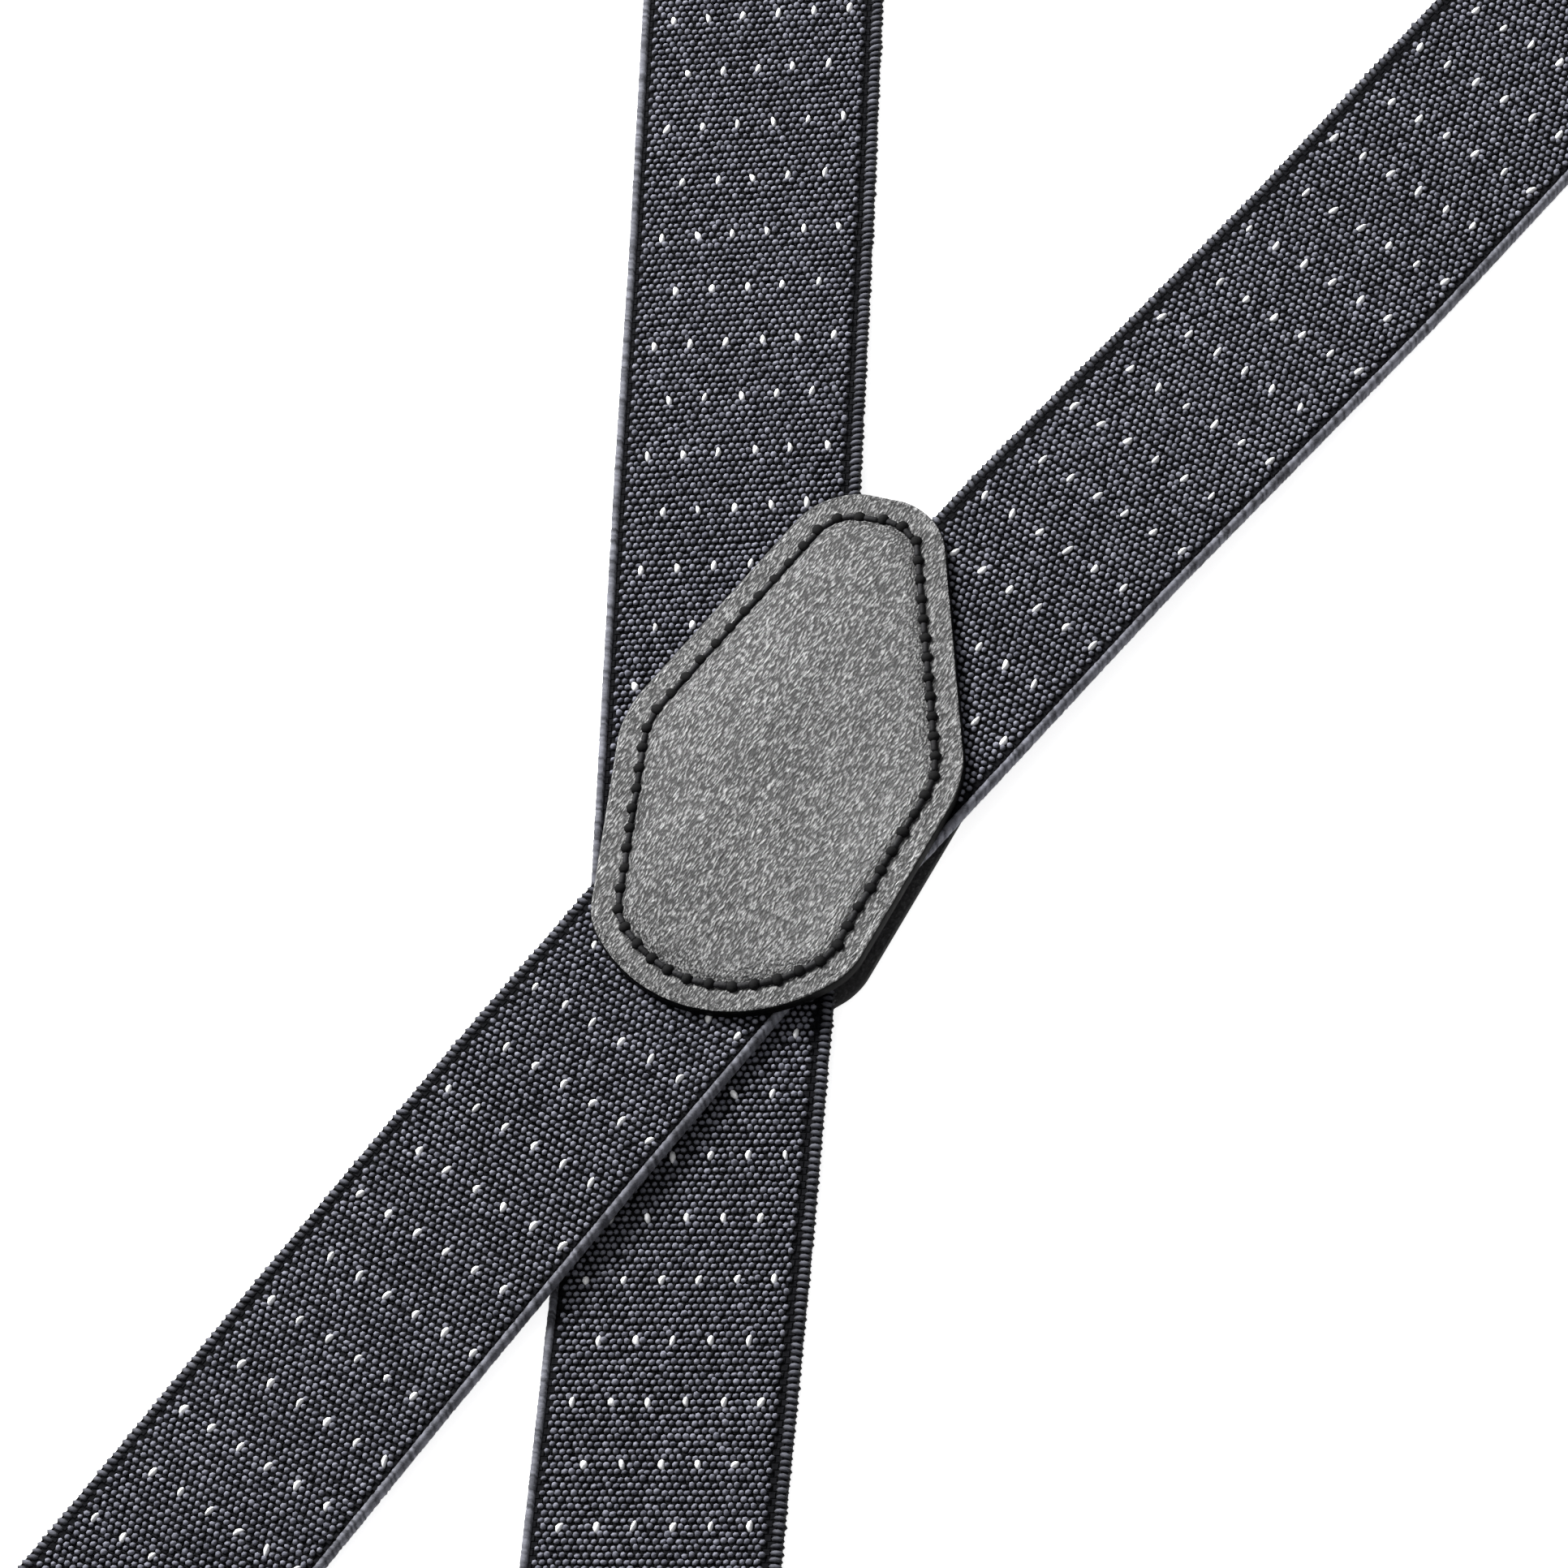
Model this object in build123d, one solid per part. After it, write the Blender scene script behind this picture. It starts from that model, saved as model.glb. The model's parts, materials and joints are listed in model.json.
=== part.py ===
"""Elastic X-back trouser suspenders, laid flat with the outer side up.

Two webbing straps cross between two leather patches at the back. Each front leg has a
length adjuster and a looped end, each rear leg has a sewn fold, and all four carry a
trapezoid ring with a cam-lever clip. Millimetres, +Z up. The origin is the centre of the
back patch's underside, +Y runs along the patch towards the shoulders, and left and right
are the wearer's.
"""

from build123d import *
import math
import os

# Webbing
STRAP_WIDTH = 35.0
STRAP_THICK = 1.8
LAYER_GAP = 0.1  # between two layers of webbing, or webbing and the metal under it
CROSSING = (-3.0, -25.6)  # where the two straps' centre lines cross
LEFT_FRONT_ANGLE = 16.2  # of each leg away from the patch's long axis
LEFT_REAR_ANGLE = 13.3
RIGHT_FRONT_ANGLE = 23.6
RIGHT_REAR_ANGLE = 20.9
FRONT_RING_AT = 660.0  # crossing to the ring's strap bar, along the leg
REAR_RING_AT = 250.0
ADJUSTER_AT = 450.0  # crossing to the adjuster's centre, along a front leg
TRAVEL_ROOM = 170.0  # level webbing behind the adjuster, for it to slide along
RISE_LONG = 90.0  # where a front leg rises to the adjuster's height
REAR_FOLD_LONG = 40.0  # sewn tail of a rear leg
VERTICAL_BEND = 25.0  # radius of the webbing where it changes height

# Cross patch
PATCH_TOP_Y = 40.8
PATCH_TOP_HALF = 8.4
PATCH_WIDE_Y = 0.7
PATCH_WIDE_HALF = 24.9
PATCH_LOW_Y = -30.6
PATCH_LOW_HALF = 18.9
PATCH_BOTTOM_Y = -39.1
PATCH_TOP_ROUND = 9.5
PATCH_WIDE_ROUND = 14.0
PATCH_LOW_ROUND = 8.0
BACK_LEATHER = 1.4
FRONT_LEATHER = 1.6
STITCH_INSET = 3.5  # outer edge to the stitch line
PILLOW_HEIGHT = 3.2  # of the padded middle above the flat border
PILLOW_ROUND = 2.9
PADDED_SKIN = 1.2  # leather over the padding

# Sewing thread
THREAD_WIDE = 0.7
THREAD_DEEP = 0.5
STITCH_LONG = 2.3
STITCH_PITCH = 3.1
GROOVE_WIDE = 1.0
TACK_ROWS = 2
TACK_BARS = 11

# Trapezoid ring of round wire
WIRE_R = 1.5
RING_LONG = 13.0  # strap bar to knuckle bar, centre to centre
RING_SIDE_ROOM = 0.45  # from the turned webbing's edge to the wire beside it
RING_CLIP_ROOM = 2.4  # from the clip's knuckle to the middle of the ring's corner
RING_STRAP_ROUND = 2.0
RING_CLIP_ROUND = 2.4
RING_PLAY = 0.08  # wire to what turns on it

# Clip
SHEET = 1.2  # base plate and ears
CLIP_HALF = 12.0  # half the base plate's width
CLIP_LONG = 37.0  # knuckle bar to the jaw's end
KNUCKLE_R = 2.9
EAR_START = 22.0
EAR_END = 34.0
PIVOT_AT = 28.0  # knuckle bar to the lever's pivot
PIVOT_Z = 7.6
CLIP_PIN_R = 1.2
PIN_PLAY = 0.05
BARREL_R = 2.3
LEVER_SHEET = 1.0
LEVER_START = 3.5
LEVER_OVERHANG = 1.6  # how far the lever's plate is wider than the base
FLANGE_DEEP = 1.6  # how far the lever's side flanges hang below its plate
SIDE_PLAY = 0.15
PIN_HEAD_R = 1.9
PIN_HEAD_THICK = 0.7
CLIP_CORNER = 3.0
LEVER_CORNER = 5.0
EAR_PLAY = 0.5  # from the lever's wide part to the ears
CAM_GAP = 0.3  # closed cam to pad
CAM_SWEEP = 56.0
PAD_THICK = 1.2
PAD_MARGIN = 2.0  # base plate's edge to the pad
PAD_START = 23.6
PAD_END = 33.4
JAW_TEETH = 9
JAW_TOOTH = 0.9

# Adjuster
RAIL_ROOM = 0.7  # from the webbing's edge to a rail
RAIL_THICK = 2.2
RAIL_BEHIND = 10.0  # rail length on the shoulder side of the centre
RAIL_AHEAD = 11.5
RAIL_LOW = 1.5
RAIL_HIGH = 7.4
PLATE_THICK = 0.9
PLATE_FROM = -9.0
PLATE_TO = 2.0
SEWN_BAR_WIDE = 3.2
SEWN_BAR_AT = 5.2
FLAP_PIVOT_AT = -5.5
FLAP_PIN_R = 0.9
FLAP_HEAD_R = 1.4
FLAP_HEAD_THICK = 0.6
FLAP_CORNER = 3.0
FLAP_TEETH = 17
FLAP_TOOTH = 1.2
FLAP_BARREL_R = 1.6
FLAP_SHEET = 1.0
FLAP_TO = 11.0
TAIL_LONG = 22.0

FAR = 2000.0  # larger than the whole object, for cutting

TOP_LAYER_Z = BACK_LEATHER + STRAP_THICK  # underside of the upper strap at the crossing
PATCH_Z = TOP_LAYER_Z + STRAP_THICK  # underside of the front leather
TURN_R = WIRE_R + LAYER_GAP  # inside of the webbing round the ring
RING_Z = STRAP_THICK + TURN_R
UPPER_Z = RING_Z + TURN_R  # underside of the upper layer at the ring and the adjuster
DOUBLED_Z = STRAP_THICK + LAYER_GAP
TAIL_Z = UPPER_Z - LAYER_GAP - STRAP_THICK
SEWN_BAR_Z = (STRAP_THICK + TAIL_Z) / 2
SEWN_BAR_THICK = TAIL_Z - STRAP_THICK - 2 * LAYER_GAP
RING_CLIP_HALF = CLIP_HALF + RING_CLIP_ROOM
TURN_SHARE = (TURN_R + STRAP_THICK) / RING_LONG  # of the ring's length, taken by the turned webbing
WIRE_BESIDE_TURN = STRAP_WIDTH / 2 + RING_SIDE_ROOM + WIRE_R
RING_STRAP_HALF = (WIRE_BESIDE_TURN - TURN_SHARE * RING_CLIP_HALF) / (1 - TURN_SHARE)
LEVER_HALF = CLIP_HALF + LEVER_OVERHANG
PAD_HALF = CLIP_HALF - PAD_MARGIN
CAM_R = PIVOT_Z - SHEET - PAD_THICK - CAM_GAP
RISE_END = ADJUSTER_AT - TRAVEL_ROOM
RAIL_INSIDE = STRAP_WIDTH / 2 + RAIL_ROOM
FLAP_CAM_R = FLAP_BARREL_R + 0.6
FLAP_PIVOT_Z = UPPER_Z + STRAP_THICK + LAYER_GAP + FLAP_CAM_R

LEGS = {
    "left_front": 90 + LEFT_FRONT_ANGLE,
    "left_rear": LEFT_REAR_ANGLE - 90,
    "right_front": 90 - RIGHT_FRONT_ANGLE,
    "right_rear": -90 - RIGHT_REAR_ANGLE,
}


def leg_place(leg, along=0.0):
    """The frame of a leg: X outwards along it, Z up, at a distance from the crossing."""
    turn = math.radians(LEGS[leg])
    x = CROSSING[0] + along * math.cos(turn)
    y = CROSSING[1] + along * math.sin(turn)
    return Location((x, y, 0), (0, 0, LEGS[leg]))


def widen(face, half):
    """A side view in the XZ plane made a solid from -half to half across the leg."""
    return extrude(Plane.XZ * face, amount=half, both=True)


def webbing(points):
    """Webbing whose underside follows (along, height) corners, each a gentle bend."""
    above = [(along, height + STRAP_THICK) for along, height in reversed(points)]
    face = make_face(Polyline(*points, *above, close=True))
    first, last = points[0][0], points[-1][0]
    bends = [v for v in face.vertices() if first + 0.1 < v.X < last - 0.1]
    if bends:
        face = fillet(bends, VERTICAL_BEND)
    return widen(face, STRAP_WIDTH / 2)


def turned_back(along, height, inside, way):
    """Webbing turned back on itself round a bar, open on the side opposite to way."""
    band = Circle(inside + STRAP_THICK) - Circle(inside)
    half = band & Pos(way * FAR / 2, 0) * Rectangle(FAR, FAR)
    return widen(Pos(along, height) * half, STRAP_WIDTH / 2)


# ---------------------------------------------------------------- straps

PATCH_SIDE = {  # corners of each leg's underside near the patch, before it lies flat
    "left_front": [(-30, BACK_LEATHER), (72, BACK_LEATHER), (112, 0)],
    "left_rear": [(-30, BACK_LEATHER), (20, BACK_LEATHER), (50, 0)],
    "right_front": [(-30, TOP_LAYER_Z), (74, TOP_LAYER_Z), (130, 0)],
    "right_rear": [(-30, TOP_LAYER_Z), (36, TOP_LAYER_Z), (76, DOUBLED_Z + 0.1), (118, 0)],
}


def strap_cut(leg):
    """A block on the leg's own side of the plane that halves the strap's bend."""
    side, end = leg.split("_")
    middle = (LEGS[side + "_front"] + LEGS[side + "_rear"] + 180) / 2
    if end == "rear":
        middle += 180
    block = Box(FAR, FAR, FAR, align=(Align.MIN, Align.CENTER, Align.CENTER))
    return Location((*CROSSING, 0), (0, 0, middle)) * block


def front_strap(leg):
    """From the crossing, over the shoulder and through the adjuster, to the ring."""
    points = PATCH_SIDE[leg] + [(RISE_END - RISE_LONG, 0), (RISE_END, UPPER_Z)]
    solid = webbing(points + [(FRONT_RING_AT, UPPER_Z)])
    return (leg_place(leg) * solid) & strap_cut(leg)


def front_turn():
    """Webbing round the ring's strap bar at a front leg's end."""
    return turned_back(FRONT_RING_AT, RING_Z, TURN_R, 1)


def front_return():
    """The layer under it, from the ring back to the adjuster's sewn bar and its tail."""
    bar = ADJUSTER_AT + SEWN_BAR_AT
    tail = [
        (bar, TAIL_Z),
        (bar + SEWN_BAR_WIDE + 1, TAIL_Z),
        (bar + SEWN_BAR_WIDE + 9, DOUBLED_Z),
        (bar + TAIL_LONG, DOUBLED_Z),
    ]
    turn = turned_back(bar, SEWN_BAR_Z, SEWN_BAR_Z - STRAP_THICK, -1)
    return webbing([(bar, 0), (FRONT_RING_AT, 0)]) + turn + webbing(tail)


def rear_strap(leg):
    """From the crossing to the ring, round it and back under itself."""
    fold_at = REAR_RING_AT - REAR_FOLD_LONG
    over = PATCH_SIDE[leg] + [
        (fold_at - 30, 0),
        (fold_at - 5, DOUBLED_Z),
        (REAR_RING_AT - 24, DOUBLED_Z),
        (REAR_RING_AT - 5, UPPER_Z),
        (REAR_RING_AT, UPPER_Z),
    ]
    fold = webbing([(fold_at, 0), (REAR_RING_AT, 0)])
    solid = webbing(over) + turned_back(REAR_RING_AT, RING_Z, TURN_R, 1) + fold
    return (leg_place(leg) * solid) & strap_cut(leg)


def bar_tack(at, top):
    """Rows of short thread bars across the webbing, lying on its upper face."""
    bar = extrude(SlotOverall(STITCH_LONG, THREAD_WIDE), THREAD_DEEP)
    step = (STRAP_WIDTH - 6) / (TACK_BARS - 1)
    bars = [
        Pos(at + row * 5.0, (i - (TACK_BARS - 1) / 2) * step, top) * bar
        for row in range(TACK_ROWS)
        for i in range(TACK_BARS)
    ]
    return Compound(children=bars)


# ----------------------------------------------------------------- patch


def patch_outline(inset=0.0):
    """The patch's outline as a face: narrow rounded top, wide shoulders, bowed bottom."""
    top_left, top_right = (-PATCH_TOP_HALF, PATCH_TOP_Y), (PATCH_TOP_HALF, PATCH_TOP_Y)
    wide_left, wide_right = (-PATCH_WIDE_HALF, PATCH_WIDE_Y), (PATCH_WIDE_HALF, PATCH_WIDE_Y)
    low_left, low_right = (-PATCH_LOW_HALF, PATCH_LOW_Y), (PATCH_LOW_HALF, PATCH_LOW_Y)
    line = Polyline(low_left, wide_left, top_left, top_right, wide_right, low_right)
    line += ThreePointArc(low_right, (0, PATCH_BOTTOM_Y), low_left)
    sketch = make_face(line)
    rounds = [
        (PATCH_TOP_Y, PATCH_TOP_ROUND),
        (PATCH_WIDE_Y, PATCH_WIDE_ROUND),
        (PATCH_LOW_Y, PATCH_LOW_ROUND),
    ]
    for height, radius in rounds:
        corners = [v for v in sketch.vertices() if abs(v.Y - height) < 0.01]
        sketch = fillet(corners, radius)
    if inset:
        sketch = offset(sketch, -inset, kind=Kind.ARC)
    return sketch


def stitch_groove(floor, depth):
    """The ring-shaped groove that a row of stitches lies in."""
    outer = patch_outline(STITCH_INSET - GROOVE_WIDE / 2)
    inner = patch_outline(STITCH_INSET + GROOVE_WIDE / 2)
    return Pos(0, 0, floor) * extrude(outer - inner, depth)


def stitches(floor):
    """One row of stitches round the patch, each a separate bar of thread."""
    line = patch_outline(STITCH_INSET).face().outer_wire()
    count = round(line.length / STITCH_PITCH)
    bar = extrude(SlotOverall(STITCH_LONG, THREAD_WIDE), THREAD_DEEP)
    bars = []
    for i in range(count):
        at, way = line.position_at(i / count), line.tangent_at(i / count)
        turn = math.degrees(math.atan2(way.Y, way.X))
        bars.append(Location((at.X, at.Y, floor), (0, 0, turn)) * bar)
    return Compound(children=bars)


def pillow(skin, top):
    """The padded middle, from the straps up, less a skin, with a well rounded edge."""
    face = patch_outline(STITCH_INSET + GROOVE_WIDE / 2 + skin)
    body = Pos(0, 0, PATCH_Z) * extrude(face, top - PATCH_Z)
    upper = body.edges().filter_by_position(Axis.Z, top - 0.01, top + 0.01)
    return fillet(upper, PILLOW_ROUND - skin / 2)


def front_leather():
    """The outer leather: a flat border, a stitch groove and a hollow padded middle."""
    border_top = PATCH_Z + FRONT_LEATHER
    top = border_top + PILLOW_HEIGHT
    border = Pos(0, 0, PATCH_Z) * extrude(patch_outline(), FRONT_LEATHER)
    border -= stitch_groove(border_top - THREAD_DEEP, THREAD_DEEP)
    return border + pillow(0, top) - pillow(PADDED_SKIN, top - PADDED_SKIN)


def padding():
    """The foam between the straps and the outer leather."""
    return pillow(PADDED_SKIN, PATCH_Z + FRONT_LEATHER + PILLOW_HEIGHT - PADDED_SKIN)


def back_leather():
    """The inner leather, flat, with a stitch groove underneath."""
    return extrude(patch_outline(), BACK_LEATHER) - stitch_groove(0, THREAD_DEEP)


# ------------------------------------------------------------ ring and clip


def ring():
    """The trapezoid ring, with its strap bar on the frame's origin."""
    corners = [
        (0, -RING_STRAP_HALF),
        (RING_LONG, -RING_CLIP_HALF),
        (RING_LONG, RING_CLIP_HALF),
        (0, RING_STRAP_HALF),
    ]
    sketch = make_face(Polyline(*corners, close=True))
    for along, radius in ((0, RING_STRAP_ROUND), (RING_LONG, RING_CLIP_ROUND)):
        ends = [v for v in sketch.vertices() if abs(v.X - along) < 0.01]
        sketch = fillet(ends, radius)
    path = sketch.face().outer_wire()
    start = Plane(origin=path @ 0, z_dir=path % 0)
    return Pos(0, 0, RING_Z) * sweep(start * Circle(WIRE_R), path=path)


def across(radius, half, x, z):
    """A round bar across the leg."""
    return Pos(x, 0, z) * Rot(90, 0, 0) * Cylinder(radius, 2 * half)


def block(x0, x1, half, z0, z1):
    """A block across the leg between two places along it and two heights."""
    size = (x1 - x0, 2 * half, z1 - z0)
    return Pos((x0 + x1) / 2, 0, (z0 + z1) / 2) * Box(*size)


def clip_base():
    """Plate with a rolled knuckle for the ring, two ears for the pin and a toothed jaw."""
    plate = block(0, CLIP_LONG, CLIP_HALF, 0, SHEET)
    corners = plate.edges().filter_by(Axis.Z).filter_by_position(
        Axis.X, CLIP_LONG - 0.01, CLIP_LONG + 0.01
    )
    plate = fillet(corners, CLIP_CORNER)
    knuckle = across(KNUCKLE_R, CLIP_HALF, 0, RING_Z)
    body = plate + knuckle - across(WIRE_R + RING_PLAY, FAR, 0, RING_Z)
    ear = block(EAR_START, EAR_END, SHEET / 2, 0, PIVOT_Z)
    ear += across(BARREL_R + 0.2, SHEET / 2, PIVOT_AT, PIVOT_Z)
    shoulder = block(EAR_START, EAR_END, SHEET, PIVOT_Z - 1.2, PIVOT_Z + 1)
    shoulder -= block(PIVOT_AT - BARREL_R - 0.2, PIVOT_AT + BARREL_R + 0.2, FAR, 0, FAR)
    ear -= shoulder
    for side in (-1, 1):
        body += Pos(0, side * (CLIP_HALF + SHEET / 2), 0) * ear
    body -= across(CLIP_PIN_R + PIN_PLAY, FAR, PIVOT_AT, PIVOT_Z)
    step = 2 * (CLIP_HALF - 3.5) / (JAW_TEETH - 1)
    tooth = Cone(JAW_TOOTH * 0.8, 0.15, JAW_TOOTH, align=(Align.CENTER, Align.CENTER, Align.MIN))
    for i in range(JAW_TEETH):
        side = (i - (JAW_TEETH - 1) / 2) * step
        body += Pos(CLIP_LONG - 1.6, side, SHEET) * tooth
    return body


def clip_lever():
    """Face plate with side flanges and a barrel that turns on the pin."""
    plate_top = PIVOT_Z + BARREL_R
    plate_low = plate_top - LEVER_SHEET
    plate = block(LEVER_START, EAR_START - EAR_PLAY, LEVER_HALF, plate_low, plate_top)
    corners = plate.edges().filter_by(Axis.Z).filter_by_position(
        Axis.X, LEVER_START - 0.01, LEVER_START + 0.01
    )
    plate = fillet(corners, LEVER_CORNER)
    inside = CLIP_HALF - SIDE_PLAY
    plate += block(EAR_START - EAR_PLAY, PIVOT_AT, inside, plate_low, plate_top)
    flange = block(LEVER_START + 5, PIVOT_AT, SHEET / 2, plate_low - FLANGE_DEEP, plate_top)
    body = plate + across(BARREL_R, inside, PIVOT_AT, PIVOT_Z)
    for side in (-1, 1):
        body += Pos(0, side * (inside - SHEET / 2), 0) * flange
    lip = block(LEVER_START + 0.6, LEVER_START + 1.6, LEVER_HALF - 6, plate_low - 0.8, plate_low)
    return body + lip - across(CLIP_PIN_R + PIN_PLAY, FAR, PIVOT_AT, PIVOT_Z)


def clip_pin():
    """The riveted pin through the ears and the lever."""
    reach = CLIP_HALF + SHEET
    pin = across(CLIP_PIN_R, reach, PIVOT_AT, PIVOT_Z)
    for side in (-1, 1):
        head = across(PIN_HEAD_R, PIN_HEAD_THICK / 2, PIVOT_AT, PIVOT_Z)
        pin += Pos(0, side * (reach + PIN_HEAD_THICK / 2), 0) * head
    return pin


def base_pad():
    """The ribbed grip moulding on the base, under the cam."""
    pad = block(PAD_START, PAD_END, PAD_HALF, SHEET, SHEET + PAD_THICK)
    pad = fillet(pad.edges().filter_by(Axis.Z), 1.0)
    for i in range(4):
        groove_at = PAD_START + 2 + i * 2.0
        pad -= block(groove_at, groove_at + 0.7, FAR, SHEET + PAD_THICK - 0.35, FAR)
    return pad


def cam_pad():
    """The grip moulding on the lever's barrel, whose lobe closes on the base pad."""
    disc = Circle(CAM_R) - Circle(BARREL_R)
    half_width = CAM_R * math.sin(math.radians(CAM_SWEEP / 2))
    wedge = Polyline((0, 0), (-half_width * 2, -2 * CAM_R), (half_width * 2, -2 * CAM_R), close=True)
    lobe = disc & make_face(wedge)
    for turn in (-15, 0, 15):
        lobe -= Rot(0, 0, turn) * Pos(0, -CAM_R) * Rectangle(0.6, 0.6)
    return Pos(PIVOT_AT, 0, PIVOT_Z) * widen(lobe, PAD_HALF)


# --------------------------------------------------------------- adjuster


def adjuster_frame():
    """Two rails joined by a backing plate and the bar that the webbing is sewn round."""
    rail = block(-RAIL_BEHIND, RAIL_AHEAD, RAIL_THICK / 2, RAIL_LOW, RAIL_HIGH)
    rail = fillet(rail.edges().filter_by(Axis.Y), 2.0)
    rail += across(FLAP_BARREL_R + 0.4, RAIL_THICK / 2, FLAP_PIVOT_AT, FLAP_PIVOT_Z)
    neck = FLAP_BARREL_R + 0.4
    rail += block(FLAP_PIVOT_AT - neck, FLAP_PIVOT_AT + neck, RAIL_THICK / 2, 4, FLAP_PIVOT_Z)
    body = block(PLATE_FROM, PLATE_TO, RAIL_INSIDE + 1, 0, PLATE_THICK)
    body = Pos(0, 0, UPPER_Z - LAYER_GAP - PLATE_THICK) * body
    half_bar = SEWN_BAR_THICK / 2
    sewn = block(
        SEWN_BAR_AT,
        SEWN_BAR_AT + SEWN_BAR_WIDE,
        RAIL_INSIDE + 1,
        SEWN_BAR_Z - half_bar,
        SEWN_BAR_Z + half_bar,
    )
    body += fillet(sewn.edges().filter_by(Axis.Y), 0.4 * SEWN_BAR_THICK)
    for side in (-1, 1):
        body += Pos(0, side * (RAIL_INSIDE + RAIL_THICK / 2), 0) * rail
    return body - across(FLAP_PIN_R + PIN_PLAY, FAR, FLAP_PIVOT_AT, FLAP_PIVOT_Z)


def adjuster_flap():
    """The toothed flap that grips the webbing against the backing plate."""
    top = FLAP_PIVOT_Z + FLAP_BARREL_R
    inside = RAIL_INSIDE - SIDE_PLAY
    plate = block(FLAP_PIVOT_AT, FLAP_TO, inside, top - FLAP_SHEET, top)
    corners = plate.edges().filter_by(Axis.Z).filter_by_position(
        Axis.X, FLAP_TO - 0.01, FLAP_TO + 0.01
    )
    plate = fillet(corners, FLAP_CORNER)
    lip = block(FLAP_TO - 1.1, FLAP_TO - 0.1, inside - 4, top - FLAP_SHEET - 0.8, top - 0.5)
    barrel = across(FLAP_BARREL_R, inside, FLAP_PIVOT_AT, FLAP_PIVOT_Z)
    body = plate + lip + barrel
    step = (STRAP_WIDTH - 3) / (FLAP_TEETH - 1)
    tooth = Cone(0.2, 0.8, FLAP_TOOTH, align=(Align.CENTER, Align.CENTER, Align.MIN))
    for i in range(FLAP_TEETH):
        side = (i - (FLAP_TEETH - 1) / 2) * step
        body += Pos(FLAP_PIVOT_AT, side, FLAP_PIVOT_Z - FLAP_CAM_R) * tooth
    return body - across(FLAP_PIN_R + PIN_PLAY, FAR, FLAP_PIVOT_AT, FLAP_PIVOT_Z)


def adjuster_pin():
    """The pin through the rails and the flap."""
    reach = RAIL_INSIDE + RAIL_THICK
    pin = across(FLAP_PIN_R, reach, FLAP_PIVOT_AT, FLAP_PIVOT_Z)
    for side in (-1, 1):
        head = across(FLAP_HEAD_R, FLAP_HEAD_THICK / 2, FLAP_PIVOT_AT, FLAP_PIVOT_Z)
        pin += Pos(0, side * (reach + FLAP_HEAD_THICK / 2), 0) * head
    return pin


# --------------------------------------------------------------- assembly


def clip_nodes(leg, ring_at):
    """The ring and the clip's pieces at the end of a leg."""
    at_ring, at_clip = leg_place(leg, ring_at), leg_place(leg, ring_at + RING_LONG)
    return {
        leg + "_ring": at_ring * ring(),
        leg + "_clip_base": at_clip * clip_base(),
        leg + "_clip_lever": at_clip * clip_lever(),
        leg + "_clip_pin": at_clip * clip_pin(),
        leg + "_base_pad": at_clip * base_pad(),
        leg + "_cam_pad": at_clip * cam_pad(),
    }


def side_nodes(side):
    """Every piece of one strap, from the rear clip to the front clip."""
    front, rear = side + "_front", side + "_rear"
    at_adjuster = leg_place(front, ADJUSTER_AT)
    tail_tack = ADJUSTER_AT + SEWN_BAR_AT + SEWN_BAR_WIDE + 11
    nodes = {
        front + "_strap": front_strap(front),
        rear + "_strap": rear_strap(rear),
        front + "_return_strap": leg_place(front) * front_return(),
        front + "_ring_turn": leg_place(front) * front_turn(),
        front + "_tack_thread": leg_place(front) * bar_tack(tail_tack, DOUBLED_Z + STRAP_THICK),
        rear + "_tack_thread": leg_place(rear)
        * bar_tack(REAR_RING_AT - REAR_FOLD_LONG + 3, DOUBLED_Z + STRAP_THICK),
        side + "_adjuster_frame": at_adjuster * adjuster_frame(),
        side + "_adjuster_flap": at_adjuster * adjuster_flap(),
        side + "_adjuster_pin": at_adjuster * adjuster_pin(),
    }
    nodes.update(clip_nodes(front, FRONT_RING_AT))
    nodes.update(clip_nodes(rear, REAR_RING_AT))
    return nodes


def main():
    """Builds every node and writes it to parts/."""
    nodes = {
        "patch_front_leather": front_leather(),
        "patch_padding": padding(),
        "patch_back_leather": back_leather(),
        "patch_top_thread": stitches(PATCH_Z + FRONT_LEATHER - THREAD_DEEP),
        "patch_bobbin_thread": stitches(0),
    }
    nodes.update(side_nodes("left"))
    nodes.update(side_nodes("right"))
    os.makedirs("parts", exist_ok=True)
    for name, shape in nodes.items():
        export_step(shape, f"parts/{name}.step")
    print(len(nodes), "nodes")


main()
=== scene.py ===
import json
import logging
import math
from dataclasses import dataclass
from enum import Enum

import bmesh
import bpy
import numpy as np
from mathutils import Matrix, Vector

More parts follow.
